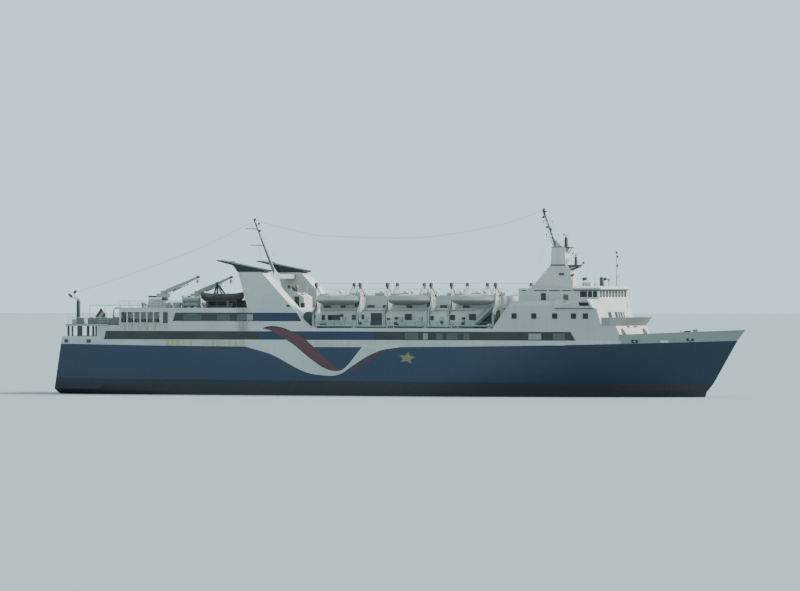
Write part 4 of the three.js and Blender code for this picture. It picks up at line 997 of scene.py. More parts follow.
# Distance of the wall from the centreline, X from and to, Z from and to, paint of the pane
OPENINGS = [
    (INNER_WALL, (-11.36, -10.85), (10.78, 11.55), blind),
    (INNER_WALL, (-10.34, -8.32), (10.78, 11.55), glass),
    (INNER_WALL, (-6.31, -5.31), (10.79, 11.56), blind),
    (INNER_WALL, (-4.7, -4.25), (10.9, 11.6), glass),
    (INNER_WALL, (-3.13, -1.29), (10.0, 11.87), dark_gear),
    (INNER_WALL, (-0.46, 0.04), (10.8, 11.1), glass),
    (INNER_WALL, (0.87, 1.54), (10.0, 10.18), dark_gear),
    (INNER_WALL, (2.54, 3.7), (10.8, 11.72), glass),
    (INNER_WALL, (6.75, 7.3), (10.81, 11.42), glass),
    (INNER_WALL, (10.0, 10.83), (10.81, 11.58), glass),
    (INNER_WALL, (13.14, 14.29), (10.82, 11.73), glass),
    (BOAT_HOUSE_WALL, (-6.0, -5.2), (12.8, 14.3), dark_gear),
    (BOAT_HOUSE_WALL, (6.0, 6.8), (12.8, 14.3), dark_gear),
    (TOP_HOUSE_WALL, (25.26, 26.07), (13.87, 14.93), glass),
    (TOP_HOUSE_WALL, (28.9, 29.7), (13.9, 14.7), blind),
    (HALF_BEAM, (-36.73, -35.9), (10.25, 12.0), dark_gear),
]
EAVES_ZS = (15.22, 15.38)
LOUVRE_XS = [(22.16, 22.81), (24.12, 26.24), (26.56, 28.35), (28.67, 30.14)]
OPENINGS += [(TOP_HOUSE_WALL, xs, EAVES_ZS, dark_gear) for xs in LOUVRE_XS]

bm = bmesh.new()
for wall, (x0, x1), (z0, z1), pane in OPENINGS:
    frame_xs, frame_zs = (x0 - FRAME_RIM, x1 + FRAME_RIM), (z0 - FRAME_RIM, z1 + FRAME_RIM)
    add_side_boxes(bm, [
        (frame_xs, (wall - OPENING_ROOT, wall + FRAME_PROUD), frame_zs, white_house),
        ((x0, x1), (wall - OPENING_ROOT, wall + PANE_PROUD), (z0, z1), pane),
    ])
close_piece("wall_openings", bm)

# %% [markdown]
# The forward house has five square windows each side, in walls that already curve in towards the bow, so
# they use the strips that follow the side. The walls of the front and of the bridge wings lean, so a small
# function gives their X or Y at any height, and each window is a plate laid on the wall.

# %% Windows of the forward house and the bridge
SQUARE_XS, SQUARE_Z, SQUARE_HALF = [21.97, 25.13, 28.4, 31.3, 33.1], 11.45, 0.42
FRONT_WINDOW_YS = [(-2.97, -1.6), (-0.13, 0.9), (1.25, 1.9), (2.2, 3.0), (3.4, 3.9)]
FRONT_WINDOW_ZS = (11.15, 12.05)
FRONT_FOOT_X, FRONT_LEAN = 35.45, 0.7  # of the wall between decks C and D
WING_PANE_XS, WING_PANE_ZS, WING_PANE_STEPS, WING_PANE_ROOT = (32.45, 33.9), (12.98, 13.5), 6, 0.06
RAY_START_Y = 20


def pane_layers(pane):
    """How much each layer grows past the pane, how proud it stands, and its paint."""
    return (FRAME_RIM, 0.02, white_house), (0, 0.03, pane)


def front_x(z):
    """X of the leaning front between decks C and D."""
    return FRONT_FOOT_X - FRONT_LEAN * (z - DECK_C) / (DECK_D - DECK_C)


def wall_y(node, side, x, z):
    """Y of a solid's outer wall, found with a ray that comes in from abeam."""
    start = Vector((x, side * RAY_START_Y, z + RISE)) * SHIP
    return nodes[node].ray_cast(start, Vector((0, -side, 0)))[1].y / SHIP


bm = bmesh.new()
for grow, proud, finish in pane_layers(dark_glass):
    for x in SQUARE_XS:
        add_strips(bm, around(x, SQUARE_HALF + grow), around(SQUARE_Z, SQUARE_HALF + grow), proud, finish)
    low, high = FRONT_WINDOW_ZS[0] - grow, FRONT_WINDOW_ZS[1] + grow
    for y0, y1 in FRONT_WINDOW_YS:
        ends = ((y0 - grow, low), (y1 + grow, low), (y1 + grow, high), (y0 - grow, high))
        add_plate(bm, [(front_x(z), y, z) for y, z in ends], proud, finish)
    low, high = WING_PANE_ZS[0] - grow, WING_PANE_ZS[1] + grow
    start, length = WING_PANE_XS[0] - grow, WING_PANE_XS[1] - WING_PANE_XS[0] + 2 * grow
    for name, side in SIDES:
        rings = []
        for i in range(WING_PANE_STEPS + 1):
            x = start + length * i / WING_PANE_STEPS
            low_y, high_y = [wall_y(f"bridge_wing_{name}", side, x, z) for z in (low, high)]
            out, back = side * (proud + 0.03), -side * WING_PANE_ROOT
            rings.append([(x, low_y + out, low), (x, high_y + out, high), (x, high_y + back, high),
                          (x, low_y + back, low)])
        add_loft(bm, rings, finish)
close_piece("forward_windows", bm)

# %% [markdown]
# The lowest front, over the foredeck, has a doorway with a round top on each side and small lamps. Its wall
# is upright at its foot and leans back above.

# %% Doorways over the foredeck
LOWER_BEND_Z, LOWER_LEAN = 8.7, 0.6
ARCH_YS, ARCH_HALF, ARCH_TOP, ARCH_STEPS = (-4.6, 4.6), 0.85, 9.6, 8
DOORWAY_ROOT = 0.05
FRONT_LAMPS = [((FRONT_X - 0.7, FRONT_X - 0.3), around(y, 0.4), (9.78, 9.9), boot_black) for y in (-1.6, 1.3)]


def lower_front_x(z):
    return FRONT_X - LOWER_LEAN * max(z - LOWER_BEND_Z, 0) / (DECK_C - LOWER_BEND_Z)


def arch(middle_y, grow):
    """Outline of a doorway with a round top, from its foot up and back."""
    half, crown = ARCH_HALF + grow, ARCH_TOP - ARCH_HALF
    turns = [math.pi * i / ARCH_STEPS for i in range(ARCH_STEPS + 1)]
    curve = [(middle_y + half * math.cos(t), crown + half * math.sin(t)) for t in turns]
    return [(middle_y + half, LOWER_BEND_Z), *curve, (middle_y - half, LOWER_BEND_Z)]


bm = bmesh.new()
for y in ARCH_YS:
    for grow, proud, finish in pane_layers(boot_black):
        add_box(bm, (FRONT_X - DOORWAY_ROOT, FRONT_X + proud), around(y, ARCH_HALF + grow),
                (FOREDECK + 0.05, LOWER_BEND_Z + 0.02), finish)
        add_loft(bm, [[(lower_front_x(z) + shift, py, z) for py, z in arch(y, grow)]
                      for shift in (-DOORWAY_ROOT, proud)], finish)
add_boxes(bm, FRONT_LAMPS)
close_piece("front_doorways", bm)

# %% [markdown]
# The wheelhouse is glazed all round. Its walls have real openings, so one sheet of glass stands in the
# thickness of the wall behind all of them. The bars between the panes of the front lean forward at their
# tops, as the panes do on the real ship.

# %% Wheelhouse glass
GLASS_INWARD, GLASS_THICK, GLASS_ZS = 0.1, 0.03, (14.25, 15.25)
GLASS_X, GLASS_Y = WHEELHOUSE_HIGH.x - GLASS_INWARD, WHEELHOUSE_HIGH.y - GLASS_INWARD
# The dark line under the eaves is painted shadow.
SHADOW_LINE_HALF = 0.02  # the dark line under the eaves
FRONT_BAR_COUNT, FRONT_BAR_STEP, FRONT_BAR_SHIFTS = 9, 1.3, (-0.3, 0.14)
FRONT_BAR = [(0, 14.3), (0.07, 14.3), (0.3, 15.2), (0.2, 15.2)]  # Y, Z

bm = bmesh.new()
# The front glass is pale grey as painted reflection; the grey lines under the eaves are painted shadow.
add_boxes(bm, [
    ((GLASS_X - GLASS_THICK, GLASS_X), around(0, GLASS_Y), GLASS_ZS, glass_painted_reflection),
    (around(WHEELHOUSE_HIGH.x, SHADOW_LINE_HALF), around(0, WHEELHOUSE_HIGH.y), EAVES_ZS, pole_grey_and_painted_shadow),
])
add_side_boxes(bm, [
    ((WHEELHOUSE_LOW.x + 0.25, GLASS_X - 0.05), (GLASS_Y - GLASS_THICK, GLASS_Y), GLASS_ZS, dark_glass),
    ((WHEELHOUSE_LOW.x, WHEELHOUSE_HIGH.x), around(WHEELHOUSE_HIGH.y, SHADOW_LINE_HALF), EAVES_ZS, pole_grey_and_painted_shadow),
])
# A line of painted shadow under the bridge wings.
add_strips(bm, (28.4, 34.3), (12.5, 12.64), 0.03, pole_grey_and_painted_shadow)
for i in range(FRONT_BAR_COUNT):
    middle = (i - FRONT_BAR_COUNT // 2) * FRONT_BAR_STEP
    for shift in FRONT_BAR_SHIFTS:
        bar = [(middle + shift + y, z) for y, z in FRONT_BAR]
        add_prism(bm, "YZ", bar, (GLASS_X - 0.01, GLASS_X + 0.03), dark_gear)
close_piece("wheelhouse_glass", bm)

# %% [markdown]
# Boats. Their solids are coarse shells, so finer ones take their place: the section comes from the same few
# points, rounded by the curve helper, and 25 stations draw the hull to a point at both ends. A section lists
# the share of the breadth and of the height, from the keel to the top.

# %% Boat form
STATION_COUNT = 25
TAPER_POWER, KEEL_POWER, TOP_POWER = 2.6, 5, 3


def taper(share):
    """Breadth of a boat at a share of its half length, as a share of its greatest breadth."""
    return 1 - abs(share) ** TAPER_POWER


def boat_rings(boat_xs, middle_y, form, section):
    """Rings of a boat; form is its half breadth, keel, top, rise of the keel's ends and drop of the top's."""
    half_breadth, keel_z, top_z, keel_rise, top_drop = form
    rings = []
    for i in range(STATION_COUNT):
        m = -math.cos(math.pi * i / (STATION_COUNT - 1))
        x = (boat_xs[0] + boat_xs[1]) / 2 + m * (boat_xs[1] - boat_xs[0]) / 2
        breadth = half_breadth * max(taper(m), 0.05)
        low, high = keel_z + keel_rise * abs(m) ** KEEL_POWER, top_z - top_drop * abs(m) ** TOP_POWER
        half = [(share_y * breadth, low + share_z * (high - low)) for share_y, share_z in section]
        outline = half + [(-y, z) for y, z in half[-2:0:-1]]
        rings.append([(x, middle_y + y, z) for y, z in outline])
    return rings


def paint_by_place(bm, rule):
    """Gives each face so far the paint that rule(middle) names."""
    for face in bm.faces:
        face.material_index = paints.index(rule(face.calc_center_median()))


print("boat form ready")

# %% [markdown]
# The lower half of a lifeboat is in the shade of its broad gunwale. The pale canopy has a small raised
# lookout with a window, grab lines hang along both sides, and two falls hold the boat at its hooks.
# Everything on a boat rides with it when the davits swing out.

# %% Lifeboats
LIFEBOAT_SECTION = [(0, 0), (0.5, 0.08), (0.82, 0.24), (0.96, 0.42), (1.0, 0.54), (0.9, 0.58), (0.84, 0.74),
                    (0.6, 0.92), (0.3, 0.98), (0, 1)]
LIFEBOAT_FORM = (1.28, 13.1, 14.77, 0.5, 0.3)
LIFEBOAT_Y, LIFEBOAT_END_ROOM = 7.3, 0.17
ARM_FACE = 0.12  # from a davit's end to the place that a boat is measured from
CANOPY_FOOT_Z = 13.78
GRAB_Z, GRAB_SAG, GRAB_SAG_RATE, GRAB_STEPS = 13.62, 0.12, 12, 16
SHEAVE_INSET, HOOK_INSET = 0.3, 0.85  # of a fall's two ends, from the davit's arm
SHEAVE_FOOT_Z, HOOK_TOP_Z, HOOK_ZS = 15.9, 14.3, (14.1, 14.42)


def add_lifeboat(bm, x0, x1, y):
    """A lifeboat between the davit arms at x0 and x1."""
    boat_xs = (x0 + LIFEBOAT_END_ROOM, x1 - LIFEBOAT_END_ROOM)
    add_loft(bm, boat_rings(boat_xs, y, LIFEBOAT_FORM, smooth_line(LIFEBOAT_SECTION, 3)), boat_white)
    paint_by_place(bm, lambda middle: boat_shade if middle.z < CANOPY_FOOT_Z else boat_white)
    middle_x, half = (x0 + x1) / 2, (x1 - x0) / 2 - 0.1
    for k in (-1, 1):
        line = []
        for i in range(2 - GRAB_STEPS, GRAB_STEPS - 1):
            t = i / GRAB_STEPS
            out = LIFEBOAT_FORM[0] * taper(t) + 0.02
            sag = GRAB_SAG * abs(math.sin(t * GRAB_SAG_RATE))
            line.append((middle_x + half * t, y + k * out, GRAB_Z - sag))
        add_bent_rod(bm, line, 0.02, dark_gear, 4)
    add_boxes(bm, [
        (around(middle_x, half * 0.75), around(y, 0.05), (13.03, 13.16), boat_shade),
        ((x0 + 1.15, x0 + 2.15), around(y, 0.42), (14.55, 14.86), boat_white),
        ((x0 + 2.14, x0 + 2.18), around(y, 0.32), (14.65, 14.8), glass),
    ])
    for end, k in ((x0, 1), (x1, -1)):
        hook_x = end + k * HOOK_INSET
        add_rod(bm, (end + k * SHEAVE_INSET, y, SHEAVE_FOOT_Z), (hook_x, y, HOOK_TOP_Z), 0.035, dark_gear, 6)
        add_box(bm, around(hook_x, 0.14), around(y, 0.09), HOOK_ZS, dark_gear)


for name, side in SIDES:
    for number in (1, 2, 3):
        low, high = ship_box(f"davit_{name}_{number}")
        bm = bmesh.new()
        add_lifeboat(bm, low.x + ARM_FACE, high.x - ARM_FACE, side * LIFEBOAT_Y)
        node = f"lifeboat_{name}_{number}"
        close_piece(f"boat_{name}_{number}", bm, node, smooth=True, replaces=[node])

# %% [markdown]
# The work boat aft is an open boat under a tent-like cover with lashings over it. The cover's paint starts
# above the gunwale, and a dark lifting frame of four legs stands over it. A row of brown lockers for its gear
# stands behind it.

# %% Work boat
TENT = [(0, 0), (0.5, 0.1), (0.85, 0.32), (1.0, 0.6), (0.94, 0.66), (0.5, 0.86), (0, 1)]
WORK_BOAT_FORM = (1.05, 13.4, 14.85, 0.75, -0.3)
WORK_BOAT_Y, WORK_BOAT_XS = -7.3, (-30.9, -23.6)
WORK_BOAT_MIDDLE = sum(WORK_BOAT_XS) / 2
COVER_MIDDLE_X, COVER_HALF_LENGTH, COVER_FOOT_Z = -27.4, 2.6, 14.5
APEX = Vector((-28.15, WORK_BOAT_Y, 16.6))
LEG_XS, LEG_Y, LEG_FOOT_Z, LEG_RADIUS = (-28.4, -26.9), 0.75, 14.4, 0.14
LASHING_SHARES, LASHING_REACH, LASHING_PROUD = (-0.66, -0.33, 0.0, 0.33, 0.66), 3.35, 0.012


def add_lashing(bm, share):
    """A rope over the cover at a share of the boat's half length."""
    x = WORK_BOAT_MIDDLE + share * LASHING_REACH
    out = WORK_BOAT_FORM[0] * taper(share) + LASHING_PROUD
    ridge_z = 14.98 - 0.35 * abs(share) ** TOP_POWER
    half = [(out, 14.1), (0.95 * out, 14.46)]
    points = [(-y, z) for y, z in half] + [(0, ridge_z)] + half[::-1]
    add_bent_rod(bm, [(x, WORK_BOAT_Y + y, z) for y, z in points], 0.02, frame_green, 4)


bm = bmesh.new()
add_loft(bm, boat_rings(WORK_BOAT_XS, WORK_BOAT_Y, WORK_BOAT_FORM, smooth_line(TENT, 4)), boat_brown)
paint_by_place(bm, lambda middle: cover_brown if middle.z > COVER_FOOT_Z
               and abs(middle.x - COVER_MIDDLE_X) < COVER_HALF_LENGTH else boat_brown)
for x in LEG_XS:
    for k in (-1, 1):
        add_rod(bm, (x, WORK_BOAT_Y + k * LEG_Y, LEG_FOOT_Z), APEX, LEG_RADIUS, frame_green, 10)
add_bar(bm, "Y", (LEG_XS[0] - 0.05, WORK_BOAT_Y, 15.0), 0.55, 0.06, frame_green)
add_box(bm, around(APEX.x, 0.2), around(APEX.y, 0.16), (APEX.z - 0.35, APEX.z), frame_green)
for share in LASHING_SHARES:
    add_lashing(bm, share)
close_piece("covered_work_boat", bm, smooth=True, replaces=["work_boat"])

# %% [markdown]
# Each locker is a box with a lid that overhangs it a little and two latches on its near face.

# %% Lockers behind the work boat
LOCKERS = [(-29.9, -27.4, 1.1), (-27.2, -25.2, 1.0), (-25.0, -23.3, 1.15)]  # X from and to, height
LOCKER_YS, LATCH_YS = (-6.5, -5.7), (-6.58, -6.5)
LID_OVERHANG, LID_ZS = 0.04, (-0.1, 0.02)  # Z from the locker's top
LATCH_SHARES, LATCH_Z_SHARES = (0.25, 0.75), (0.55, 0.65)

bm = bmesh.new()
for x0, x1, height in LOCKERS:
    top = DECK_D + height
    lid_ys = (LOCKER_YS[0] - LID_OVERHANG, LOCKER_YS[1] + LID_OVERHANG)
    add_boxes(bm, [
        ((x0, x1), LOCKER_YS, (DECK_D, top), locker_brown),
        ((x0 - LID_OVERHANG, x1 + LID_OVERHANG), lid_ys, (top + LID_ZS[0], top + LID_ZS[1]), cover_brown),
    ])
    latch_zs = [DECK_D + height * share for share in LATCH_Z_SHARES]
    for share in LATCH_SHARES:
        add_box(bm, around(x0 + (x1 - x0) * share, 0.06), LATCH_YS, latch_zs, cover_brown)
close_piece("work_boat_lockers", bm, bevel=0.02)

# %% [markdown]
# Rails run round every open deck. One function draws a rail along a line: posts at even steps and three
# bars. Real rails are 1.05 m high and made of bars 35 mm thick, a little more for the top one. Beside the
# boats the rail is broken where a davit's arm swings out.

# %% Rails
POST_STEP, RAIL_HEIGHT = 1.6, 1.05
RAIL_RADIUS, TOP_BAR_GROWTH, LOWER_BAR_GROWTH = 0.028, 1.2, 0.8
RAIL_BARS = (0.35, 0.7, 1.0)
ARM_WIDTH, DAVIT_ROOM, LEAST_RAIL = 0.28, 0.3, 0.5
AFT_DECK_TOP = ship_box("aft_deck_c")[0].z + 0.3
BOAT_RAIL_HEIGHT = 0.95
# X, Y at the rail's ends, height of its deck, paint; the port side's are mirrored
SIDE_RAILS = [
    ((-53.5, 8.1), (-46.3, 8.6), AFT_DECK_TOP, white_house),
    ((-44.2, 8.7), (-24.2, 8.7), DECK_D, pole_grey_and_painted_shadow),
    ((-10.9, 4.7), (18.6, 4.7), BOAT_HOUSE_ROOF, white_house),
]
# X, half length, height of the deck
CROSS_RAILS = [(-53.5, 8.1, AFT_DECK_TOP), (-44.2, 8.7, DECK_D), (-10.9, 4.7, BOAT_HOUSE_ROOF)]


def add_rail(bm, start, end, finish, height=RAIL_HEIGHT):
    start, end = Vector(start), Vector(end)
    count = max(1, round((end - start).length / POST_STEP))
    for i in range(count + 1):
        foot = start.lerp(end, i / count)
        add_rod(bm, foot - AXES["Z"] * 0.02, foot + AXES["Z"] * height, RAIL_RADIUS, finish, 5)
    for share in RAIL_BARS:
        lift = AXES["Z"] * (height * share)
        radius = RAIL_RADIUS * (TOP_BAR_GROWTH if share == 1.0 else LOWER_BAR_GROWTH)
        add_rod(bm, start + lift, end + lift, radius, finish, 5)


def davit_gaps():
    """X from and to of the stretches between the davit arms."""
    faces = [SLOPE_FOOT_X + 0.05]
    for number in (1, 2, 3):
        low, high = ship_box(f"davit_starboard_{number}")
        faces += [low.x, low.x + ARM_WIDTH, high.x - ARM_WIDTH, high.x]
    faces.append(FORWARD_FOOT_X)
    return list(zip(faces[::2], faces[1::2]))


bm = bmesh.new()
for _, side in SIDES:
    for (x0, y0), (x1, y1), deck, finish in SIDE_RAILS:
        add_rail(bm, (x0, side * y0, deck), (x1, side * y1, deck), finish)
    for x0, x1 in davit_gaps():
        if x1 - x0 > LEAST_RAIL:
            start, end = (x0 + DAVIT_ROOM, side * 8.7, RECESS), (x1 - DAVIT_ROOM, side * 8.7, RECESS)
            add_rail(bm, start, end, pole_grey_and_painted_shadow, BOAT_RAIL_HEIGHT)
for x, half, deck in CROSS_RAILS:
    add_rail(bm, (x, -half, deck), (x, half, deck), white_house)
close_piece("rails", bm, smooth=True)

# %% [markdown]
# Davits carry their boats by falls that run over a sheave at each head. A wide web plate with two round
# holes stiffens the upper bend of each arm, pipes run up its legs, and a wire spans the two heads. All this
# swings with the davit, so it rides the davit's own body, and it stays 70 mm clear of the boat's ends.

# %% Davit gear
HEAD_Y, HEAD_Z, FOOT_Y, FOOT_Z = 7.3, 16.2, 8.35, 9.9
WEB = [(5.65, 13.0), (5.65, 15.0), (7.0, 15.85), (7.45, 15.6), (7.3, 14.3), (7.6, 13.1), (8.5, 12.2),
       (8.5, 11.7)]
WEB_HALF_THICK = 0.045
PIPE_RUN, PIPE_SHIFTS = [(FOOT_Y, 10.1), (8.5, 11.8), (7.6, 13.1)], (-0.2, 0.2)  # Y, Z along an arm
# Y, Z, half length, radius, paint and count of sides of the round parts across an arm
ARM_ROUNDS = [
    (HEAD_Y, HEAD_Z, 0.17, 0.33, dark_gear, 16),
    (5.78, 14.6, 0.22, 0.19, dark_gear, 12),
    (6.4, 13.7, 0.06, 0.16, dark_gear, 12),
    (6.4, 14.5, 0.06, 0.16, dark_gear, 12),
]


def add_davit_gear(bm, side, arm_xs):
    for x in arm_xs:
        add_prism(bm, "YZ", [(side * y, z) for y, z in WEB], around(x, WEB_HALF_THICK), roof_grey)
        add_box(bm, around(x, 0.1), around(side * HEAD_Y, 0.2), (15.6, 16.15), dark_gear)
        for y, z, half_length, radius, finish, sides in ARM_ROUNDS:
            add_bar(bm, "X", (x, side * y, z), half_length, radius, finish, sides)
        for shift in PIPE_SHIFTS:
            add_bent_rod(bm, [(x + shift, side * y, z) for y, z in PIPE_RUN], 0.05, pole_grey_and_painted_shadow)
    wire_ends = [(x, side * HEAD_Y, 16.42) for x in arm_xs]
    add_rod(bm, *wire_ends, 0.02, dark_gear, 4)
    # A grey sleeve over the davit's foot tube: painted shade.
    tube_ends = [(x + shift, side * FOOT_Y, FOOT_Z) for x, shift in zip(arm_xs, (0.75, -0.75))]
    add_rod(bm, *tube_ends, 0.13, roof_grey, 14)


for name, side in SIDES:
    for number in (1, 2, 3):
        low, high = ship_box(f"davit_{name}_{number}")
        bm = bmesh.new()
        add_davit_gear(bm, side, (low.x + ARM_WIDTH / 2, high.x - ARM_WIDTH / 2))
        close_piece(f"davit_gear_{name}_{number}", bm, f"davit_{name}_{number}", smooth=True)

# %% [markdown]
# Beside the boats, the deck has the winches of the davits, a stair up to the next deck, two shapes under dark
# green covers near the funnel, and a pipe and boxes along the wall. Short tables hold their places.

# %% Gear on the boat deck
INNER_STRIP = (INNER_WALL, INNER_WALL + 0.05)
CASING_YS = (INNER_WALL - 0.3, INNER_WALL + 0.1)
# X, half length
CASINGS = [(-10.6, 0.5), (-7.9, 0.3), (-3.2, 0.5), (-0.9, 0.25), (3.2, 0.35), (8.9, 0.5), (12.6, 0.4)]
# X, Z
WALL_BOXES = [(1.0, 10.1), (1.1, 10.9), (12.3, 10.9), (12.2, 10.1), (8.7, 10.3), (-8.0, 11.3), (-4.9, 10.2)]
LOCKER_XS = [-7.6, -3.9, 1.9, 5.2, 8.6, 12.2]
COVERED_SHAPES = [(-12.45, 11.35, 0.72), (-10.25, 9.9, 0.4)]  # X, Z and radius of the round top
SWEEP_END = [(17.3, 10.0), (18.3, 10.0), (18.3, 12.5), (17.75, 12.5)]  # X, Z
WINCH_INSET, WINCH_Y, DRUM_Z = 1.0, 7.7, RECESS + 0.45
STAIR_XS, STAIR_YS, STEPS = (14.0, 17.4), (5.45, 6.25), 11
HAND_RAIL = AXES["Z"] * 0.95  # above the stair's side bars


def add_winch(bm, side, x):
    y = side * WINCH_Y
    add_box(bm, around(x, 0.32), around(y, 0.28), (RECESS, RECESS + 0.3), white_house)
    add_bar(bm, "X", (x, y, DRUM_Z), 0.3, 0.26, white_house, 14)
    add_bar(bm, "X", (x - 0.335, y, DRUM_Z), 0.025, 0.34, dark_gear, 14)
    add_box(bm, around(x, 0.16), on_side(side, 8.1, 8.3), (RECESS + 0.3, RECESS + 0.55), white_house)


def add_stair(bm, side):
    # A triangle of painted shadow on the wall under the stair.
    shade = [(STAIR_XS[0], RECESS), (STAIR_XS[1], RECESS), (STAIR_XS[1], DECK_D - 0.3)]
    add_prism(bm, "XZ", shade, on_side(side, INNER_WALL, INNER_WALL + 0.07), strip_blue_and_stair_shadow)
    for y in STAIR_YS:
        foot, head = [Vector((x, side * y, z)) for x, z in zip(STAIR_XS, (RECESS + 0.05, DECK_D - 0.1))]
        add_rod(bm, foot, head, 0.07, pole_grey_and_painted_shadow, 6)
        add_rod(bm, foot + HAND_RAIL, head + HAND_RAIL, 0.03, pole_grey_and_painted_shadow, 6)
    for i in range(STEPS):
        t = (i + 0.5) / STEPS
        x, z = STAIR_XS[0] + t * (STAIR_XS[1] - STAIR_XS[0]), RECESS + t * (DECK_D - RECESS)
        add_box(bm, around(x, 0.13), on_side(side, *STAIR_YS), (z - 0.03, z + 0.01), dark_gear)


bm = bmesh.new()
# Along the wall's foot runs a low strip of painted shade; a white beam runs under the edge of deck D.
add_side_boxes(bm, [
    (BOAT_DECK_XS, INNER_STRIP, (RECESS, RECESS + 0.2), pole_grey_and_painted_shadow),
    (BOAT_DECK_XS, (INNER_WALL, INNER_WALL + 0.3), (DECK_D - 0.35, DECK_D), white_house),
])
add_side_boxes(bm, [(around(x, half), CASING_YS, (DECK_D, DECK_D + 0.42), dark_gear) for x, half in CASINGS])
add_side_boxes(bm, [(around(x, 0.2), (INNER_WALL, INNER_WALL + 0.3), (z, z + 0.35), dark_gear)
                    for x, z in WALL_BOXES])
add_side_boxes(bm, [(around(x, 0.25), (INNER_WALL, INNER_WALL + 0.22), (RECESS + 1.1, RECESS + 1.7),
                     white_house) for x in LOCKER_XS])
for _, side in SIDES:
    for number in (1, 2, 3):
        low, high = ship_box(f"davit_starboard_{number}")
        for x in (low.x + WINCH_INSET, high.x - WINCH_INSET):
            add_winch(bm, side, x)
    pipe_y = side * (INNER_WALL + 0.1)
    add_rod(bm, (SLOPE_FOOT_X + 0.5, pipe_y, 12.25), (STAIR_XS[0], pipe_y, 12.25), 0.06, white_house)
    add_stair(bm, side)
    add_prism(bm, "XZ", SWEEP_END, on_side(side, *INNER_STRIP), deep_brown)
    for x, z, radius in COVERED_SHAPES:
        add_bar(bm, "Y", (x, side * 7.45, z), 0.75, radius, frame_green, 18)
        add_box(bm, around(x, radius * 0.7), on_side(side, 6.8, 8.1), (RECESS, z), frame_green)
close_piece("boat_deck_gear", bm, smooth=True)

# %% [markdown]
# The aft mast leans back and carries lamps, two gaffs and a ladder. A long aerial hangs between the two masts
# and sags by three metres, and another runs down to the stern.

# %% Aft mast and aerials
LAMP = [(0, 0.09), (0.05, 0.16), (0.3, 0.16), (0.36, 0.05)]  # height, radius
MAST_FOOT_X, MAST_FOOT_Z, MAST_LEAN = -21.6, 17.9, 0.4254
AERIALS = [
    [(-25.2, 0, 26.3), (-17.25, 0, 24.4), (-12.2, 0, 23.75), (2.85, 0, 23.5), (16.25, 0, 25.4),
     (23.2, 0, 27.6)],
    [(-25.2, 0, 26.1), (-34, -1.6, 21.9), (-44, -3.3, 18.2), (-53.75, -5, 15.0)],
]
GAFFS = [(22.3, 2.5), (24.9, 2.0)]  # Z, length
MAST_LAMPS = [(0.55, 25.7), (0.25, 24.6), (0.2, 26.35)]  # how far forward, Z
RUNG_COUNT, RUNG_FOOT_Z, RUNG_STEP, RUNG_YS = 16, 18.6, 0.3, ((-0.28, -0.16), (0.16, 0.28))
WIRE_RADIUS, STAY_RADIUS = 0.02, 0.014


def mast_point(z, y=0.0, ahead=0.0):
    """A point on the leaning aft mast."""
    return (MAST_FOOT_X - MAST_LEAN * (z - MAST_FOOT_Z) + ahead, y, z)


bm = bmesh.new()
for line in AERIALS:
    add_bent_rod(bm, smooth_line(line, 8), WIRE_RADIUS, dark_gear, 4)
for y in (-1.55, 1.55):
    add_rod(bm, mast_point(23.6, y), (-21.75, y * 2.4, MAST_FOOT_Z), STAY_RADIUS, dark_gear, 4)
add_rod(bm, mast_point(18.3), mast_point(26.4), 0.235, pole_grey_and_painted_shadow, 14, 0.12)
for z, length in GAFFS:
    x, y, _ = mast_point(z)
    add_rod(bm, (x, y, z), (x - length, y, z + 0.12), 0.075, pole_grey_and_painted_shadow, 8, 0.05)
for ahead, z in MAST_LAMPS:
    add_rod(bm, mast_point(z), mast_point(z, ahead=ahead), 0.04, dark_gear, 6)
    add_turned(bm, Vector(mast_point(z, ahead=ahead)) - AXES["Z"] * 0.12, LAMP, dark_gear, 10)
for i in range(RUNG_COUNT):
    z = RUNG_FOOT_Z + RUNG_STEP * i
    for y0, y1 in RUNG_YS:
        add_rod(bm, mast_point(z, y0), mast_point(z, y1), 0.03, dark_gear, 4)
close_piece("aft_mast_gear", bm, smooth=True)

# %% [markdown]
# The foremast carries two dark radar shelves with turned housings under the scanners, a topmast with lamps,
# a louvre and a ladder. Thin stays run down from its yards, and small fittings with a line stand on them.

# %% Foremast gear
# X, Y and Z from and to, paint
SHELF_BOXES = [
    ((24.95, 27.94), (-0.74, 0.74), (21.77, 21.97), dark_gear),
    ((27.14, 27.22), (-1.0, 1.0), (19.05, 19.3), roof_grey),
    ((23.2, 23.75), (-0.25, 0.25), (27.25, 27.5), dark_gear),
]
MAST_SIDE_BOXES = [
    ((24.8, 27.25), (1.0, 1.03), (19.05, 19.3), pole_grey_and_painted_shadow),
    ((26.22, 27.04), (1.0, 1.04), (17.62, 18.0), dark_gear),
]
LOWER_SHELF = [(27.3, 18.7), (29.3, 19.02), (29.42, 19.22), (27.2, 19.22)]  # X, Z
LOWER_BRACKET = [(27.1, 18.0), (29.25, 18.95), (29.25, 19.1), (27.1, 18.2)]
RADAR_HOUSINGS = [(27.0, 21.95, 23.42, 0.3), (28.6, 19.2, 20.5, 0.24)]  # X, foot Z, top Z, radius
TOPMAST_LAMPS = [(23.95, 24.85), (24.6, 24.55), (23.5, 27.0), (23.45, 27.6), (23.3, 26.4)]  # X, Z
YARD_FITTINGS = [(24.75, 2.4, 23.6), (24.01, 1.7, 25.6)]  # X, distance from the centreline, Z
FITTING = [(0, 0.05), (0.3, 0.05), (0.42, 0.12), (0.5, 0.02)]
STAY_YS = (1.4, 2.2)

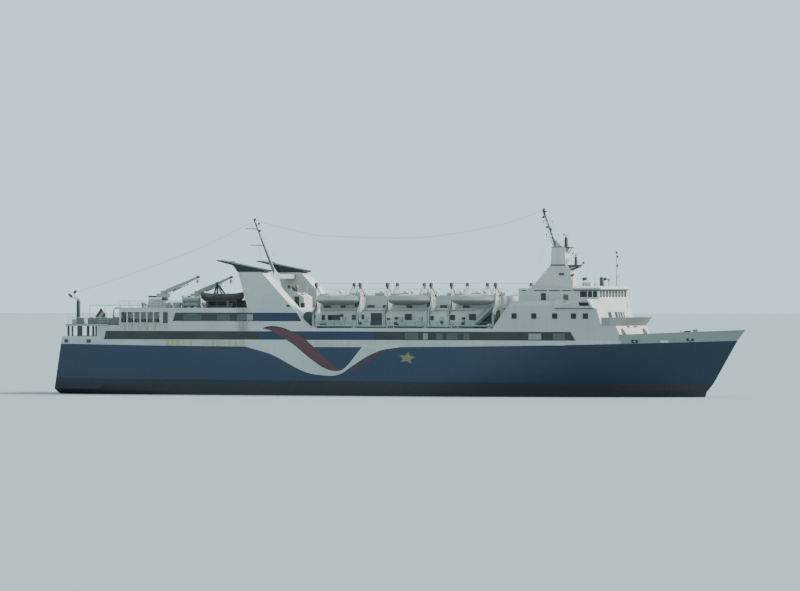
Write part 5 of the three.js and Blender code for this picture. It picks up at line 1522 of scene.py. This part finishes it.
bm = bmesh.new()
add_boxes(bm, SHELF_BOXES)
add_side_boxes(bm, MAST_SIDE_BOXES)
add_prism(bm, "XZ", LOWER_SHELF, (-0.64, 0.64), dark_gear)
for k in (-1, 1):
    add_rod(bm, (27.7, k * 0.5, 21.8), (27.1, k * 0.5, 20.7), 0.06, dark_gear, 6)
    add_prism(bm, "XZ", LOWER_BRACKET, on_side(k, 0.5, 0.62), dark_gear)
    add_rod(bm, (24.9, k * 0.3, 22.2), (23.3, k * 0.2, 27.3), 0.035, pole_grey_and_painted_shadow, 5)
    for y in STAY_YS:
        add_rod(bm, (24.75, k * y, 23.6), (22.3, k * y * 1.5, 15.65), STAY_RADIUS, white_house, 4)
    for x, y, z in YARD_FITTINGS:
        add_turned(bm, (x, k * y, z - 0.1), FITTING, dark_gear, 8)
        add_rod(bm, (x, k * y, z), (25.6, k * y * 0.3, 21.9), 0.012, dark_gear, 4)
for x, z, top, radius in RADAR_HOUSINGS:
    profile = [(0, radius + 0.1), (0.12, radius), (top - z - 0.1, radius * 0.85), (top - z, radius * 0.6)]
    add_turned(bm, (x, 0, z), profile, dark_gear)
add_rod(bm, (29.3, 0, 19.15), (29.85, 0, 19.45), 0.05, dark_gear, 6)
add_rod(bm, (25.25, 0, 22.3), (23.25, 0, 27.7), 0.21, pole_grey_and_painted_shadow, 12, 0.12)
add_rod(bm, (23.0, 0.9, 26.9), (23.9, -0.9, 26.5), 0.05, pole_grey_and_painted_shadow, 6)
add_turned(bm, (29.85, 0, 19.35), LAMP, dark_gear, 10)
for x, z in TOPMAST_LAMPS:
    add_rod(bm, (x - 0.1, -0.1, z + 0.1), (x - 0.4, 0, z + 0.1), 0.03, dark_gear, 6)
    add_turned(bm, (x, -0.12, z - 0.05), LAMP, dark_gear, 10)
for i in range(12):
    add_bar(bm, "Y", (23.0, 0, 16.9 + 0.3 * i), 0.25, 0.02, white_house, 4)
close_piece("foremast_gear", bm, smooth=True)

# %% [markdown]
# Funnels and what stands between them: a light moulding runs along each funnel's edges, its aft face has two
# louvres and a dark pipe, and exhausts show behind its fin. Fans, tanks and round vent heads stand on the
# vent house.

# %% Funnel gear
FUNNEL_FOOT_X, FUNNEL_TOP_X, FUNNEL_TOP = -22.3, -23.87, 18.2
VENT_TOP = ship_box("vent_house")[1].z
MOULDING_YS, FIN_WIRE_YS = (6.22, HALF_BEAM - 0.02), (6.12, HALF_BEAM + 0.03)
FIN_WIRE = [(-24.75, 19.24), (-27.5, 19.98)]  # X, Z
LOUVRE_ZS, LOUVRE_YS, LOUVRE_HEIGHT = (13.4, 15.4), (7.0, 8.0), 1.5
NOTCH = [(-15.75, 12.78), (-15.0, 12.78), (-15.35, 13.15), (-15.75, 13.15)]
EXHAUST_YS = (6.9, 7.5, 8.1)
PIPE_Y, PIPE = 8.4, [(12.8, 0.12, 12.66), (13.5, 0.12, 13.5), (13.9, 0, 13.75)]  # Z of the face, out, Z
# X, Y, radius, height
SMALL_VENTS = [(-18.6, -1.1, 0.35, 0.75), (-18.6, 0.2, 0.3, 0.6), (-18.55, 1.2, 0.3, 0.7)]
THIN_PIPES = [(-17.15, -1.35), (-16.6, 0.9), (-18.3, 1.45)]  # X, Y
ROUND_VENTS = [(-16.6, -0.7), (-16.9, 0.55)]
ROUND_VENT = [(0, 0.2), (0.3, 0.2), (0.32, 0.34), (0.45, 0.3), (0.55, 0.1)]
VENT_BOXES = [
    ((-18.2, -17.2), (-1.2, 1.2), (14.9, 15.75), deep_brown),
    ((-16.5, -15.97), (-1.63, -1.2), (12.7, 13.4), dark_gear),
    ((-17.6, -16.8), (-1.63, -1.58), (12.75, 14.4), dark_gear),
]


def funnel_aft_x(z):
    return FUNNEL_FOOT_X + (FUNNEL_TOP_X - FUNNEL_FOOT_X) * (z - DECK_D) / (FUNNEL_TOP - DECK_D)


def add_funnel_gear(bm, side):
    for y in MOULDING_YS:
        start, end = (FUNNEL_FOOT_X, side * y, DECK_D + 0.02), (FUNNEL_TOP_X, side * y, FUNNEL_TOP - 0.02)
        add_rod(bm, start, end, 0.06, white_house)
    for y in FIN_WIRE_YS:
        add_bent_rod(bm, [(x, side * y, z) for x, z in FIN_WIRE], 0.022, roof_grey)
    pipe = [(funnel_aft_x(wall_z) - out, side * PIPE_Y, z) for wall_z, out, z in PIPE]
    add_bent_rod(bm, pipe, 0.11, dark_gear, 10)
    y0, y1 = [side * y for y in LOUVRE_YS]
    for low in LOUVRE_ZS:
        high = low + LOUVRE_HEIGHT
        corners = [(funnel_aft_x(z), y, z) for y, z in ((y0, low), (y1, low), (y1, high), (y0, high))]
        add_plate(bm, corners[::-side], 0.04, dark_gear)
    add_prism(bm, "XZ", NOTCH, on_side(side, HALF_BEAM - 0.03, HALF_BEAM + 0.02), dark_gear)
    for y in EXHAUST_YS:
        add_rod(bm, (-24.6, side * y, 19.0), (-25.6, side * y, 19.75), 0.2, dark_gear, 12)
    add_rod(bm, (-20.4, side * 2.4, DECK_D), (-20.4, side * 2.4, DECK_D + 1.9), 0.35, deep_brown, 16)


bm = bmesh.new()
for _, side in SIDES:
    add_funnel_gear(bm, side)
for x, y, radius, height in SMALL_VENTS:
    profile = [(0, radius), (height * 0.7, radius), (height, radius * 0.4)]
    add_turned(bm, (x, y, VENT_TOP - 0.05), profile, deep_brown)
add_boxes(bm, VENT_BOXES)
add_side_boxes(bm, [((-21.5, -19.3), (3.4, 5.6), (DECK_D, DECK_D + 1.3), roof_grey)])
add_bar(bm, "Y", (-17.7, 0, 15.5), 1.5, 0.28, deep_brown, 14)
for x, y in THIN_PIPES:
    add_rod(bm, (x, y, 14.5), (x, y, 16.2), 0.045, white_house, 6)
for x, y in ROUND_VENTS:
    add_turned(bm, (x, y, 14.45), ROUND_VENT, roof_grey)
close_piece("funnel_gear", bm, smooth=True)

# %% [markdown]
# Cranes: a dark slewing ring, light housings beside the head, a motor on the rear arm and a hydraulic ram
# under the boom. Each rides the part of the crane it is bolted to.

# %% Crane gear
CRANE_X, CRANE_Y, RING_Z = -37.6, 6.2, 14.2
BASE_RING = [(0, 0.5), (0.06, 0.54), (0.3, 0.54), (0.34, 0.5)]
HEAD_RING = [(0, 0.53), (0.2, 0.53)]
HOUSING_XS, HOUSING_YS, HOUSING_ZS = (-38.8, -37.0), (0.44, 0.6), (14.3, 14.86)
MOTOR_XS, MOTOR_ZS = (-40.42, -38.5), (14.23, 14.52)
BOOM_FOOT, BOOM_TIP = Vector((-37.85, 0, 14.98)), Vector((-31.9, 0, 17.44))
BOOM_ALONG = (BOOM_TIP - BOOM_FOOT).normalized()
BOOM_UP = Vector((-BOOM_ALONG.z, 0, BOOM_ALONG.x))
RAM_REACHES, RAM_DROP, RAM_RADII = (1.6, 3.2, 4.4), 0.4, (0.1, 0.055)  # along the boom, below it


def add_boom_gear(bm, foot, tip):
    cylinder, gland, eye = [foot + BOOM_ALONG * reach - BOOM_UP * RAM_DROP for reach in RAM_REACHES]
    add_rod(bm, cylinder, gland, RAM_RADII[0], grey_gear, 12)
    add_rod(bm, gland, eye, RAM_RADII[1], dark_gear, 10)
    for reach in (RAM_REACHES[0], RAM_REACHES[-1]):
        root = foot + BOOM_ALONG * reach
        add_rod(bm, root - BOOM_UP * 0.5, root - BOOM_UP * 0.1, 0.07, grey_gear)
    add_bar(bm, "Y", tip, 0.26, 0.19, dark_gear, 14)
    add_rod(bm, foot + Vector((0.3, 0, 0.35)), tip + AXES["Z"] * 0.2, 0.018, dark_gear, 4)


for name, side in SIDES:
    y = side * CRANE_Y
    bm = bmesh.new()
    add_turned(bm, (CRANE_X, y, RING_Z - 0.36), BASE_RING, dark_gear, 20)
    close_piece(f"crane_base_gear_{name}", bm, smooth=True)
    bm = bmesh.new()
    add_turned(bm, (CRANE_X, y, RING_Z + 0.05), HEAD_RING, dark_gear, 20)
    add_box(bm, MOTOR_XS, around(y, 0.16), MOTOR_ZS, dark_gear)
    for k in (-1, 1):
        add_box(bm, HOUSING_XS, [y + edge for edge in on_side(k, *HOUSING_YS)], HOUSING_ZS, roof_grey)
    close_piece(f"crane_head_gear_{name}", bm, f"crane_head_{name}", smooth=True)
    bm = bmesh.new()
    add_boom_gear(bm, BOOM_FOOT + AXES["Y"] * y, BOOM_TIP + AXES["Y"] * y)
    close_piece(f"crane_boom_gear_{name}", bm, f"crane_boom_{name}", smooth=True)

# %% [markdown]
# The stern. Its open mooring deck has winches, bollards and rollers behind the posts of the opening, and the
# deck above has the frame of an awning, a small davit for stores, vents and boxes with life jackets.

# %% Gear of the stern
# X, width
MOORING_POSTS = [(-53.2, 0.25), (-52.5, 0.2), (-51.2, 0.75), (-49.75, 0.35), (-48.85, 0.25), (-48.3, 0.25)]
OPENING_FORM_Z, POST_ZS = 8.2, (8.22, AFT_DECK_TOP - 0.32)  # the posts follow the curve at the first height
BOLLARD = [(0, 0.3), (0.06, 0.3), (0.1, 0.2), (0.55, 0.2), (0.6, 0.27), (0.68, 0.25)]
BOLLARD_SPACE, BOLLARD_BED = 0.45, 0.32
ROLLER, ROLLER_XS = [(0, 0.16), (0.5, 0.13), (0.55, 0.2), (0.62, 0.1)], (-53.4, -52.0, -49.3, -46.8)
WINCH_X, STERN_WINCH_Y, WINCH_Z = -49.8, 4.2, DECK_B + 0.75
# X from and to, Z from and to, proud, paint, height whose curve it follows, thickness
STERN_STRIPS = [
    ((-53.85, -53.2), (7.2, 7.72), 0.05, dark_gear, 7.5, 0.05),
    ((-49.95, -49.25), (7.2, 7.72), 0.05, dark_gear, 7.5, 0.05),
    ((-48.2, -46.2), (8.1, AFT_DECK_TOP - 0.28), -0.01, white_side, 8.2, 0.12),
    ((-51.7, -48.4), (8.2, 8.3), 0.01, dark_gear, 8.2, 0.3),
    ((-53.66, -46.25), (AFT_DECK_TOP - 0.31, AFT_DECK_TOP + 0.02), 0.02, roof_grey, DECK_B, 0.05),
]
AWNING_XS, AWNING_Y, AWNING_TOP, AWNING_RADIUS = (-50.0, -47.35, -44.75), 7.5, 13.05, 0.035
STORE_DAVIT = [(-45.6, AFT_DECK_TOP), (-45.6, 12.3), (-45.35, 12.6), (-44.35, 12.62)]  # X, Z
STERN_VENTS = [(-51.9, 2.5, 0.9), (-45.2, 3.2, 1.1)]  # X, distance from the centreline, height
VENT_HEAD = [(0, 0.25), (0.02, 0.45), (0.2, 0.4), (0.3, 0.15)]
POST_X, POST_Y = -53.2, -5.0
POST = [(0, 0.42), (0.1, 0.42), (0.2, 0.33), (3.5, 0.31), (3.6, 0.27)]
POST_CAP = [(0, 0.3), (0.25, 0.33), (0.4, 0.12)]
STERN_LIGHTS = [((-54.35, -5, 14.32), (-54.85, -5, 14.78)), ((-53.98, -5, 14.95), (-53.62, -5, 15.3))]


def add_bollards(bm, x, y, z, finish):
    """A pair of bollards on one bed."""
    add_box(bm, around(x, BOLLARD_SPACE + BOLLARD_BED), around(y, BOLLARD_BED), (z, z + 0.08), finish)
    for k in (-1, 1):
        add_turned(bm, (x + k * BOLLARD_SPACE, y, z + 0.04), BOLLARD, finish, 14)


def add_mooring_winch(bm, y):
    add_box(bm, (-50.7, -48.9), around(y, 1.3), (DECK_B, DECK_B + 0.2), screen_green)
    add_bar(bm, "Y", (WINCH_X, y, WINCH_Z), 1.5, 0.42, screen_green, 18)
    add_box(bm, around(WINCH_X, 0.5), around(y, 0.35), (DECK_B + 0.1, DECK_B + 1.25), screen_green)
    for k in (-1, 1):
        add_bar(bm, "Y", (WINCH_X, y + k * 0.94, WINCH_Z), 0.04, 0.62, dark_gear, 20)


def add_awning(bm):
    for x in AWNING_XS:
        for _, side in SIDES:
            foot = (x, side * AWNING_Y, AFT_DECK_TOP - 0.02)
            add_rod(bm, foot, (x, side * AWNING_Y, AWNING_TOP), AWNING_RADIUS, dark_gear, 6)
        add_bar(bm, "Y", (x, 0, AWNING_TOP), AWNING_Y, AWNING_RADIUS, dark_gear, 6)
    for _, side in SIDES:
        y = side * AWNING_Y
        add_rod(bm, (AWNING_XS[0], y, AWNING_TOP), (-44.2, y, AWNING_TOP), AWNING_RADIUS, dark_gear, 6)


bm = bmesh.new()
for xs, zs, proud, finish, form_z, thick in STERN_STRIPS:
    add_strips(bm, xs, zs, proud, finish, form_z=form_z, thick=thick)
add_awning(bm)
for _, side in SIDES:
    for x in (-52.9, -49.0):
        add_bollards(bm, x, side * 6.9, DECK_B + 0.01, dark_gear)
    add_mooring_winch(bm, side * STERN_WINCH_Y)
    for x in ROLLER_XS:
        add_turned(bm, (x, side * 7.9, DECK_B + 0.02), ROLLER, dark_gear, 12)
    # The posts of the opening are dark with painted shade.
    for x, width in MOORING_POSTS:
        y = half_width(x, OPENING_FORM_Z)
        add_box(bm, around(x, width / 2 + 0.02), on_side(side, y - 0.24, y), POST_ZS, post_painted_shade)
    add_bent_rod(bm, [(x, side * 8.0, z) for x, z in STORE_DAVIT], 0.1, dark_gear, 10)
    for x in (-52.6, -46.9):
        add_box(bm, around(x, 0.55), on_side(side, 6.6, 7.3), (AFT_DECK_TOP, AFT_DECK_TOP + 0.75), roof_grey)
    for x, y, height in STERN_VENTS:
        profile = [(0, 0.25), *[(height + dz, radius) for dz, radius in VENT_HEAD]]
        add_turned(bm, (x, side * y, AFT_DECK_TOP - 0.02), profile, roof_grey)
add_rail(bm, (-54.1, -7.6, DECK_B), (-54.1, 7.6, DECK_B), roof_grey)
add_boxes(bm, [
    ((-53.7, -53.6), (-8.3, 8.3), (AFT_DECK_TOP - 0.31, AFT_DECK_TOP + 0.02), roof_grey),
    ((-48.9, -46.4), (-1.6, 1.6), (AFT_DECK_TOP, AFT_DECK_TOP + 1.1), roof_grey),
])
# The stern light post is dark with the same painted shade.
add_turned(bm, (POST_X, POST_Y, 10.12), POST, post_painted_shade)
add_turned(bm, (POST_X, POST_Y, 13.85), POST_CAP, white_side)
for start, end in STERN_LIGHTS:
    add_rod(bm, start, end, 0.2, dark_gear, 12)
close_piece("stern_gear", bm, smooth=True)

# %% [markdown]
# The ensign hangs from a raked staff in three plain bands. Each band is a thin loft of ten stations down the
# hoist, and a sine wave gives it its folds.

# %% Ensign
STAFF_FOOT, STAFF_TOP = Vector((-52.9, -1.2, AFT_DECK_TOP)), Vector((-51.1, -1.2, 12.6))
HOIST_LOW, FLAG_FALL = 0.42, Vector((0.85, 0, -1.05))
FOLD_DEPTH, FOLD_RATE, FLAG_STATIONS = 0.14, 1.1, 10
FLAG_THICK = Vector((0, 0.02, 0))
# Share of the flag's fall from and to, paint
FLAG_BANDS = [(0.0, 0.34, flag_red), (0.34, 0.66, flag_white), (0.66, 1.0, dark_gear)]

bm = bmesh.new()
add_rod(bm, STAFF_FOOT, STAFF_TOP, 0.045, roof_grey)
for start, end, finish in FLAG_BANDS:
    rings = []
    for i in range(FLAG_STATIONS):
        hoist = STAFF_FOOT.lerp(STAFF_TOP, HOIST_LOW + (1 - HOIST_LOW) * i / (FLAG_STATIONS - 1))
        fold = AXES["Y"] * (FOLD_DEPTH * math.sin(i * FOLD_RATE))
        corners = [hoist + (FLAG_FALL + fold) * share for share in (start, end)]
        rings.append([*corners, *[corner + FLAG_THICK for corner in corners[::-1]]])
    add_loft(bm, rings, finish)
close_piece("ensign", bm, smooth=True)

# %% [markdown]
# Behind the promenade's openings runs the wall of a saloon: pale above, in a brighter white as painted light
# against the shade inside, with brown panels below. A row of lockers for life jackets stands inside the
# openings, and a thin bright bar runs above and below them.

# %% Promenade
SALOON_WALL, SALOON_XS = 6.6, (-44.15, -37.35)
JACKET_LOCKER_XS = [-43.8, -42.6, -41.3, -40.4, -39.1, -38.2]
BAR_XS, BAR_YS = (-44.2, -37.3), (HALF_BEAM - 0.06, HALF_BEAM + 0.03)
PROMENADE_FOOT = DECK_C + 0.02

bm = bmesh.new()
# The saloon wall's upper part and the end wall are in the brighter white: painted light against the shade
# inside.
add_side_boxes(bm, [
    (SALOON_XS, (SALOON_WALL - 0.02, SALOON_WALL + 0.05), (PROMENADE_FOOT, 10.85), deep_brown),
    (SALOON_XS, (SALOON_WALL, SALOON_WALL + 0.03), (10.9, 12.3), bright_white_and_painted_light),
    ((-44.27, -44.2), (SALOON_WALL, HALF_BEAM - 0.1), (PROMENADE_FOOT, 12.0), bright_white_and_painted_light),
    (BAR_XS, BAR_YS, (12.05, 12.11), bright_white_and_painted_light),
    (BAR_XS, BAR_YS, (10.25, 10.31), bright_white_and_painted_light),
    *((around(x, 0.38), (8.2, 8.5), (PROMENADE_FOOT, 10.93), deep_brown) for x in JACKET_LOCKER_XS),
])
close_piece("promenade_inside", bm)

# %% [markdown]
# Foredeck: the anchor windlass with its chains, bollards, two hatches and vents, and openings in the bulwark
# that lead the mooring ropes out. Brackets hold the bulwark up from inside.

# %% Gear of the foredeck
BOW_FAIRLEADS = [((39.95, 40.9), 7.62), ((47.8, 48.8), 7.93)]  # X from and to, Z
BOW_BOLLARDS = [(40.5, 4.5), (44.4, 3.5), (51.2, 0.7)]  # X, Y
HATCHES = [(41.5, 1.1), (53.2, 0.5)]  # X, half length and breadth
BRACKET_XS, BRACKET_INWARD, BRACKET_REACH = range(39, 52, 2), 0.28, 0.45
BULWARK_FOOT_TOP, BULWARK_RISE = 8.66, 0.71 / 17.7  # top of the bulwark at the front of the houses, its slope
CHAIN_X, CHAIN_LENGTH, CHAIN_SHARES = 49.2, 2.4, (0.0, 0.33, 0.66)
CHAIN_PIPE = [(0, 0.42), (0.12, 0.4), (0.2, 0.25)]
FOREDECK_VENT = [(0, 0.28), (0.8, 0.28), (0.82, 0.5), (1.0, 0.46), (1.12, 0.2)]
BRAKE_LEVER = [(46.3, FOREDECK + 0.2), (46.3, 9.1), (46.5, 9.35)]  # X, Z


def add_brackets(bm, side):
    """Brackets from the deck up to the top of the bulwark."""
    for x in BRACKET_XS:
        top = BULWARK_FOOT_TOP + BULWARK_RISE * (x - FRONT_X)
        foot_y, top_y = [half_width(x, z) - BRACKET_INWARD for z in (FOREDECK, top)]
        outline = [(foot_y - BRACKET_REACH, FOREDECK), (foot_y, FOREDECK), (top_y, top - 0.1)]
        add_prism(bm, "YZ", [(side * y, z) for y, z in outline], around(x, 0.03), roof_grey)


def add_chain(bm, side):
    """Rods for the anchor chain on the deck, and the pipe that it leaves through."""
    for share in CHAIN_SHARES:
        x, z = CHAIN_X + share * CHAIN_LENGTH, FOREDECK + 0.12
        start, end = (x, side * (1.6 - 0.45 * share), z), (x + 0.7, side * (1.47 - 0.45 * share), z)
        add_rod(bm, start, end, 0.09, boot_black)
    add_turned(bm, (49.6, side * 1.1, FOREDECK), CHAIN_PIPE, boot_black)


bm = bmesh.new()
for xs, z in BOW_FAIRLEADS:
    add_strips(bm, xs, around(z, 0.24), 0.05, boot_black, form_z=z)
    add_strips(bm, around(sum(xs) / 2, 0.12), around(z, 0.12), 0.065, roof_grey, form_z=z)
add_strips(bm, (44.1, 45.2), (7.5, 7.74), 0.03, bright_white_and_painted_light, form_z=7.6)
for _, side in SIDES:
    for x, y in BOW_BOLLARDS:
        add_bollards(bm, x, side * y, FOREDECK + 0.005, boot_black)
    add_brackets(bm, side)
    add_chain(bm, side)
    add_turned(bm, (43.0, side * 1.9, FOREDECK), FOREDECK_VENT, roof_grey)
    for y in (1.5, 2.6):
        add_bar(bm, "Y", (47.4, side * y, 8.55), 0.05, 0.68, boot_black, 20)
    add_bent_rod(bm, [(x, side * 2.1, z) for x, z in BRAKE_LEVER], 0.05, boot_black)
for x, half in HATCHES:
    add_boxes(bm, [
        (around(x, half), around(0, half), (FOREDECK, FOREDECK + 0.5), screen_green),
        (around(x, half + 0.08), around(0, half + 0.08), (FOREDECK + 0.45, FOREDECK + 0.56), roof_grey),
    ])
add_box(bm, (47.75, 48.5), (-0.5, 0.5), (9.0, 9.45), roof_grey)
close_piece("foredeck_gear", bm, smooth=True)

# %% [markdown]
# The stern ramp is stiffened by ribs on its outer face and has a non-slip lane of bars inside. Its ribs ride
# with it. A small function gives the X of the leaning transom's faces at any height.

# %% Stern ramp
RAMP_PIVOT_X, RAMP_PIVOT_Z, RAMP_HALF_THICK = -55.3, 1.87, 0.16
TRANSOM_SLOPE = 0.2076
UPRIGHT_RIB_YS, UPRIGHT_RIB_ZS = (-5.2, -3.1, -1.05, 1.05, 3.1, 5.2), (2.9, 5.8)
UPRIGHT_RIB = [(-0.02, -0.1), (-0.02, 0.1), (0.09, 0.1), (0.09, -0.1)]  # out of the ramp, Y
LEVEL_RIB_ZS = (3.3, 4.5, 5.6)
LANE_BARS, LANE_FOOT_Z, LANE_STEP = 14, 2.7, 0.22


def ramp_face(z, out):
    return RAMP_PIVOT_X + TRANSOM_SLOPE * (z - RAMP_PIVOT_Z) - RAMP_HALF_THICK - out


bm = bmesh.new()
for y in UPRIGHT_RIB_YS:
    add_loft(bm, [[(ramp_face(z, out), y + dy, z) for out, dy in UPRIGHT_RIB] for z in UPRIGHT_RIB_ZS],
             hull_blue)
for z in LEVEL_RIB_ZS:
    add_box(bm, (ramp_face(z, 0.06), ramp_face(z, -0.04)), (-5.7, 5.7), around(z, 0.07), hull_blue)
for i in range(LANE_BARS):
    z = LANE_FOOT_Z + LANE_STEP * i
    add_box(bm, (ramp_face(z, -0.34), ramp_face(z, -0.28)), (-4.8, 4.8), around(z, 0.025), dark_gear)
for y in (-5.6, 5.6):
    add_bar(bm, "Y", (ramp_face(5.7, -0.2), y, 5.75), 0.1, 0.2, dark_gear, 12)
close_piece("ramp_ribs", bm, "stern_ramp")

# %% [markdown]
# The doorway has a dark rubber seal, frames and beams stiffen the walls and the roof of the vehicle deck,
# lamps hang between them, and painted lines mark its lanes.

# %% Vehicle deck
SEAL_HALF, SEAL_ZS, SEAL_WIDTH = 6.12, (2.2, 6.3), 0.16
SEAL_OUT, SEAL_IN = -0.03, 0.05
SEAL_TOP_ZS = (6.12, 6.28)
FRAME_STEP = 3
FRAME_XS = range(-52, round(HOLD_HIGH.x) - 1, FRAME_STEP)
FRAME_YS, FRAME_ZS = (HOLD_HALF - 0.22, HOLD_HALF + 0.02), (CAR_DECK, HOLD_HIGH.z - 0.02)
LANE_YS, LANE_AFT_X = (2.3, 4.6), -53.0


def transom_x(z):
    return TRANSOM_FOOT_X + TRANSOM_SLOPE * z


bm = bmesh.new()
for _, side in SIDES:
    corners = [(SEAL_OUT, SEAL_HALF), (SEAL_OUT, SEAL_HALF + SEAL_WIDTH), (SEAL_IN, SEAL_HALF + SEAL_WIDTH),
               (SEAL_IN, SEAL_HALF)]
    add_loft(bm, [[(transom_x(z) + dx, side * y, z) for dx, y in corners] for z in SEAL_ZS], dark_gear)
low, high = SEAL_TOP_ZS
corners = ((SEAL_OUT, low), (SEAL_OUT, high), (SEAL_IN, high), (SEAL_IN, low))
add_loft(bm, [[(transom_x(z) + dx, y, z) for dx, z in corners] for y in around(0, SEAL_HALF + SEAL_WIDTH)],
         dark_gear)
for x in FRAME_XS:
    add_side_boxes(bm, [(around(x, 0.06), FRAME_YS, FRAME_ZS, white_house)])
    add_boxes(bm, [
        (around(x, 0.06), around(0, HOLD_HALF), (HOLD_HIGH.z - 0.25, HOLD_HIGH.z + 0.02), white_house),
        ((x + 1.0, x + 2.0), (-0.1, 0.1), (HOLD_HIGH.z - 0.12, HOLD_HIGH.z + 0.01), bright_white_and_painted_light),
    ])
add_side_boxes(bm, [((LANE_AFT_X, HOLD_HIGH.x - 0.5), around(y, 0.06), (CAR_DECK, CAR_DECK + COVER_THICK),
                     bright_white_and_painted_light) for y in LANE_YS])
close_piece("vehicle_deck_frames", bm)

# %% [markdown]
# Small things on the roofs: mushroom vents, lockers and benches in rows, and life rafts in white canisters.
# A roof without them looks like a toy's.

# %% Roof and deck details
MUSHROOM = [(0, 0.2), (0.55, 0.2), (0.57, 0.42), (0.72, 0.36), (0.8, 0.12)]
ROOF_VENT_XS, ROOF_VENT_YS = range(-9, 18, 4), (-3.4, 3.4)
DECK_VENT_XS, DECK_VENT_Y = (-41.8, -33.4, -26.5), 4.4
BENCH_XS, BENCH_YS = (-42.6, -39.2, -35.6, -32.0, -28.6, -25.4), (-3.0, -1.0, 1.0, 3.0)


def add_bench(bm, x, y):
    """Seat, back and two feet."""
    add_boxes(bm, [
        (around(x, 0.2), around(y, 0.8), (DECK_D + 0.38, DECK_D + 0.46), deep_brown),
        ((x - 0.25, x - 0.18), around(y, 0.8), (DECK_D + 0.44, DECK_D + 0.85), deep_brown),
        *((around(x, 0.18), around(y + dy, 0.05), (DECK_D, DECK_D + 0.4), grey_gear) for dy in (-0.7, 0.7)),
    ])


bm = bmesh.new()
for x in ROOF_VENT_XS:
    for y in ROOF_VENT_YS:
        add_turned(bm, (x, y, BOAT_HOUSE_ROOF), MUSHROOM, white_house, 14)
    add_box(bm, (x + 0.8, x + 2.4), (-1.1, 1.1), (BOAT_HOUSE_ROOF, BOAT_HOUSE_ROOF + 0.5), roof_grey)
for x in BENCH_XS:
    for y in BENCH_YS:
        add_bench(bm, x, y)
for _, side in SIDES:
    add_rod(bm, (-30.6, side * 5.2, DECK_D + 0.5), (-29.1, side * 5.2, DECK_D + 0.95), 0.36, white_house, 16)
    for x in DECK_VENT_XS:
        add_turned(bm, (x, side * DECK_VENT_Y, DECK_D), MUSHROOM, white_house, 14)
add_side_boxes(bm, [
    ((-36.8, -35.8), (7.1, 7.9), (DECK_D, DECK_D + 0.75), roof_grey),
    ((-35.4, -34.4), (7.1, 7.9), (DECK_D, DECK_D + 0.75), roof_grey),
    ((-30.3, -29.4), (4.9, 5.5), (DECK_D, DECK_D + 0.5), roof_grey),
])
add_box(bm, (30.0, 31.4), (-1.0, 1.0), (ROOF - 0.02, ROOF + 0.9), white_house)
close_piece("roof_details", bm, smooth=True)

# %% [markdown]
# Gear on the wheelhouse roof: a slim signal mast, a compass housing, search lights, lamps on brackets, and
# small aerials. They are rods and turned shapes.

# %% Roof gear
ROOF_TOP = 15.98
SIGNAL_X, SIGNAL_Y = 34.2, 2.7
# Height and radius
COMPASS = [(0, 0.34), (0.2, 0.3), (1.35, 0.3), (1.5, 0.2)]
SEARCH_LIGHT = [(0, 0.07), (0.8, 0.05), (0.82, 0.2), (1.15, 0.22), (1.2, 0.08)]
ROOF_LAMPS = [(0.12, 18.9), (0.12, 20.3), (0, 20.95)]  # ahead of the signal mast, Z
ROOF_WHIPS = [(30.2, 3.4, 19.6), (31.1, -1.6, 18.9), (33.0, -3.0, 18.4)]  # X, Y, Z of the tip

bm = bmesh.new()
add_turned(bm, (32.4, 1.0, ROOF_TOP - 0.1), COMPASS, dark_gear)
add_turned(bm, (33.5, 1.2, ROOF_TOP - 0.1), SEARCH_LIGHT, grey_gear)
add_bar(bm, "X", (33.5, 1.2, 17.1), 0.4, 0.05, grey_gear)
add_rod(bm, (SIGNAL_X, SIGNAL_Y, ROOF_TOP - 0.2), (SIGNAL_X, SIGNAL_Y, 21.0), 0.09, grey_gear, 10, 0.05)
add_rod(bm, (SIGNAL_X, SIGNAL_Y, 17.2), (SIGNAL_X + 0.5, SIGNAL_Y, 17.7), 0.04, grey_gear)
add_bar(bm, "Y", (SIGNAL_X, SIGNAL_Y, 20.1), 0.5, 0.035, grey_gear)
for ahead, z in ROOF_LAMPS:
    add_turned(bm, (SIGNAL_X + ahead, SIGNAL_Y, z), LAMP, dark_gear, 10)
for y in (-4.2, 4.2):
    add_rod(bm, (31.6, y, ROOF_TOP - 0.25), (31.6, y, ROOF_TOP + 0.65), 0.12, grey_gear, 10, 0.08)
    add_rod(bm, (31.35, y, 17.0), (31.95, y, 17.12), 0.24, dark_gear, 14)
add_rod(bm, (28.9, -2.2, ROOF), (28.9, -2.2, 17.4), 0.06, grey_gear)
add_rod(bm, (28.65, -2.2, 17.55), (29.15, -2.2, 17.75), 0.2, dark_gear, 14)
for x, y, tip in ROOF_WHIPS:
    add_rod(bm, (x, y, ROOF - 0.05), (x, y, tip), 0.022, grey_gear, 5, 0.012)
close_piece("roof_gear", bm, smooth=True)
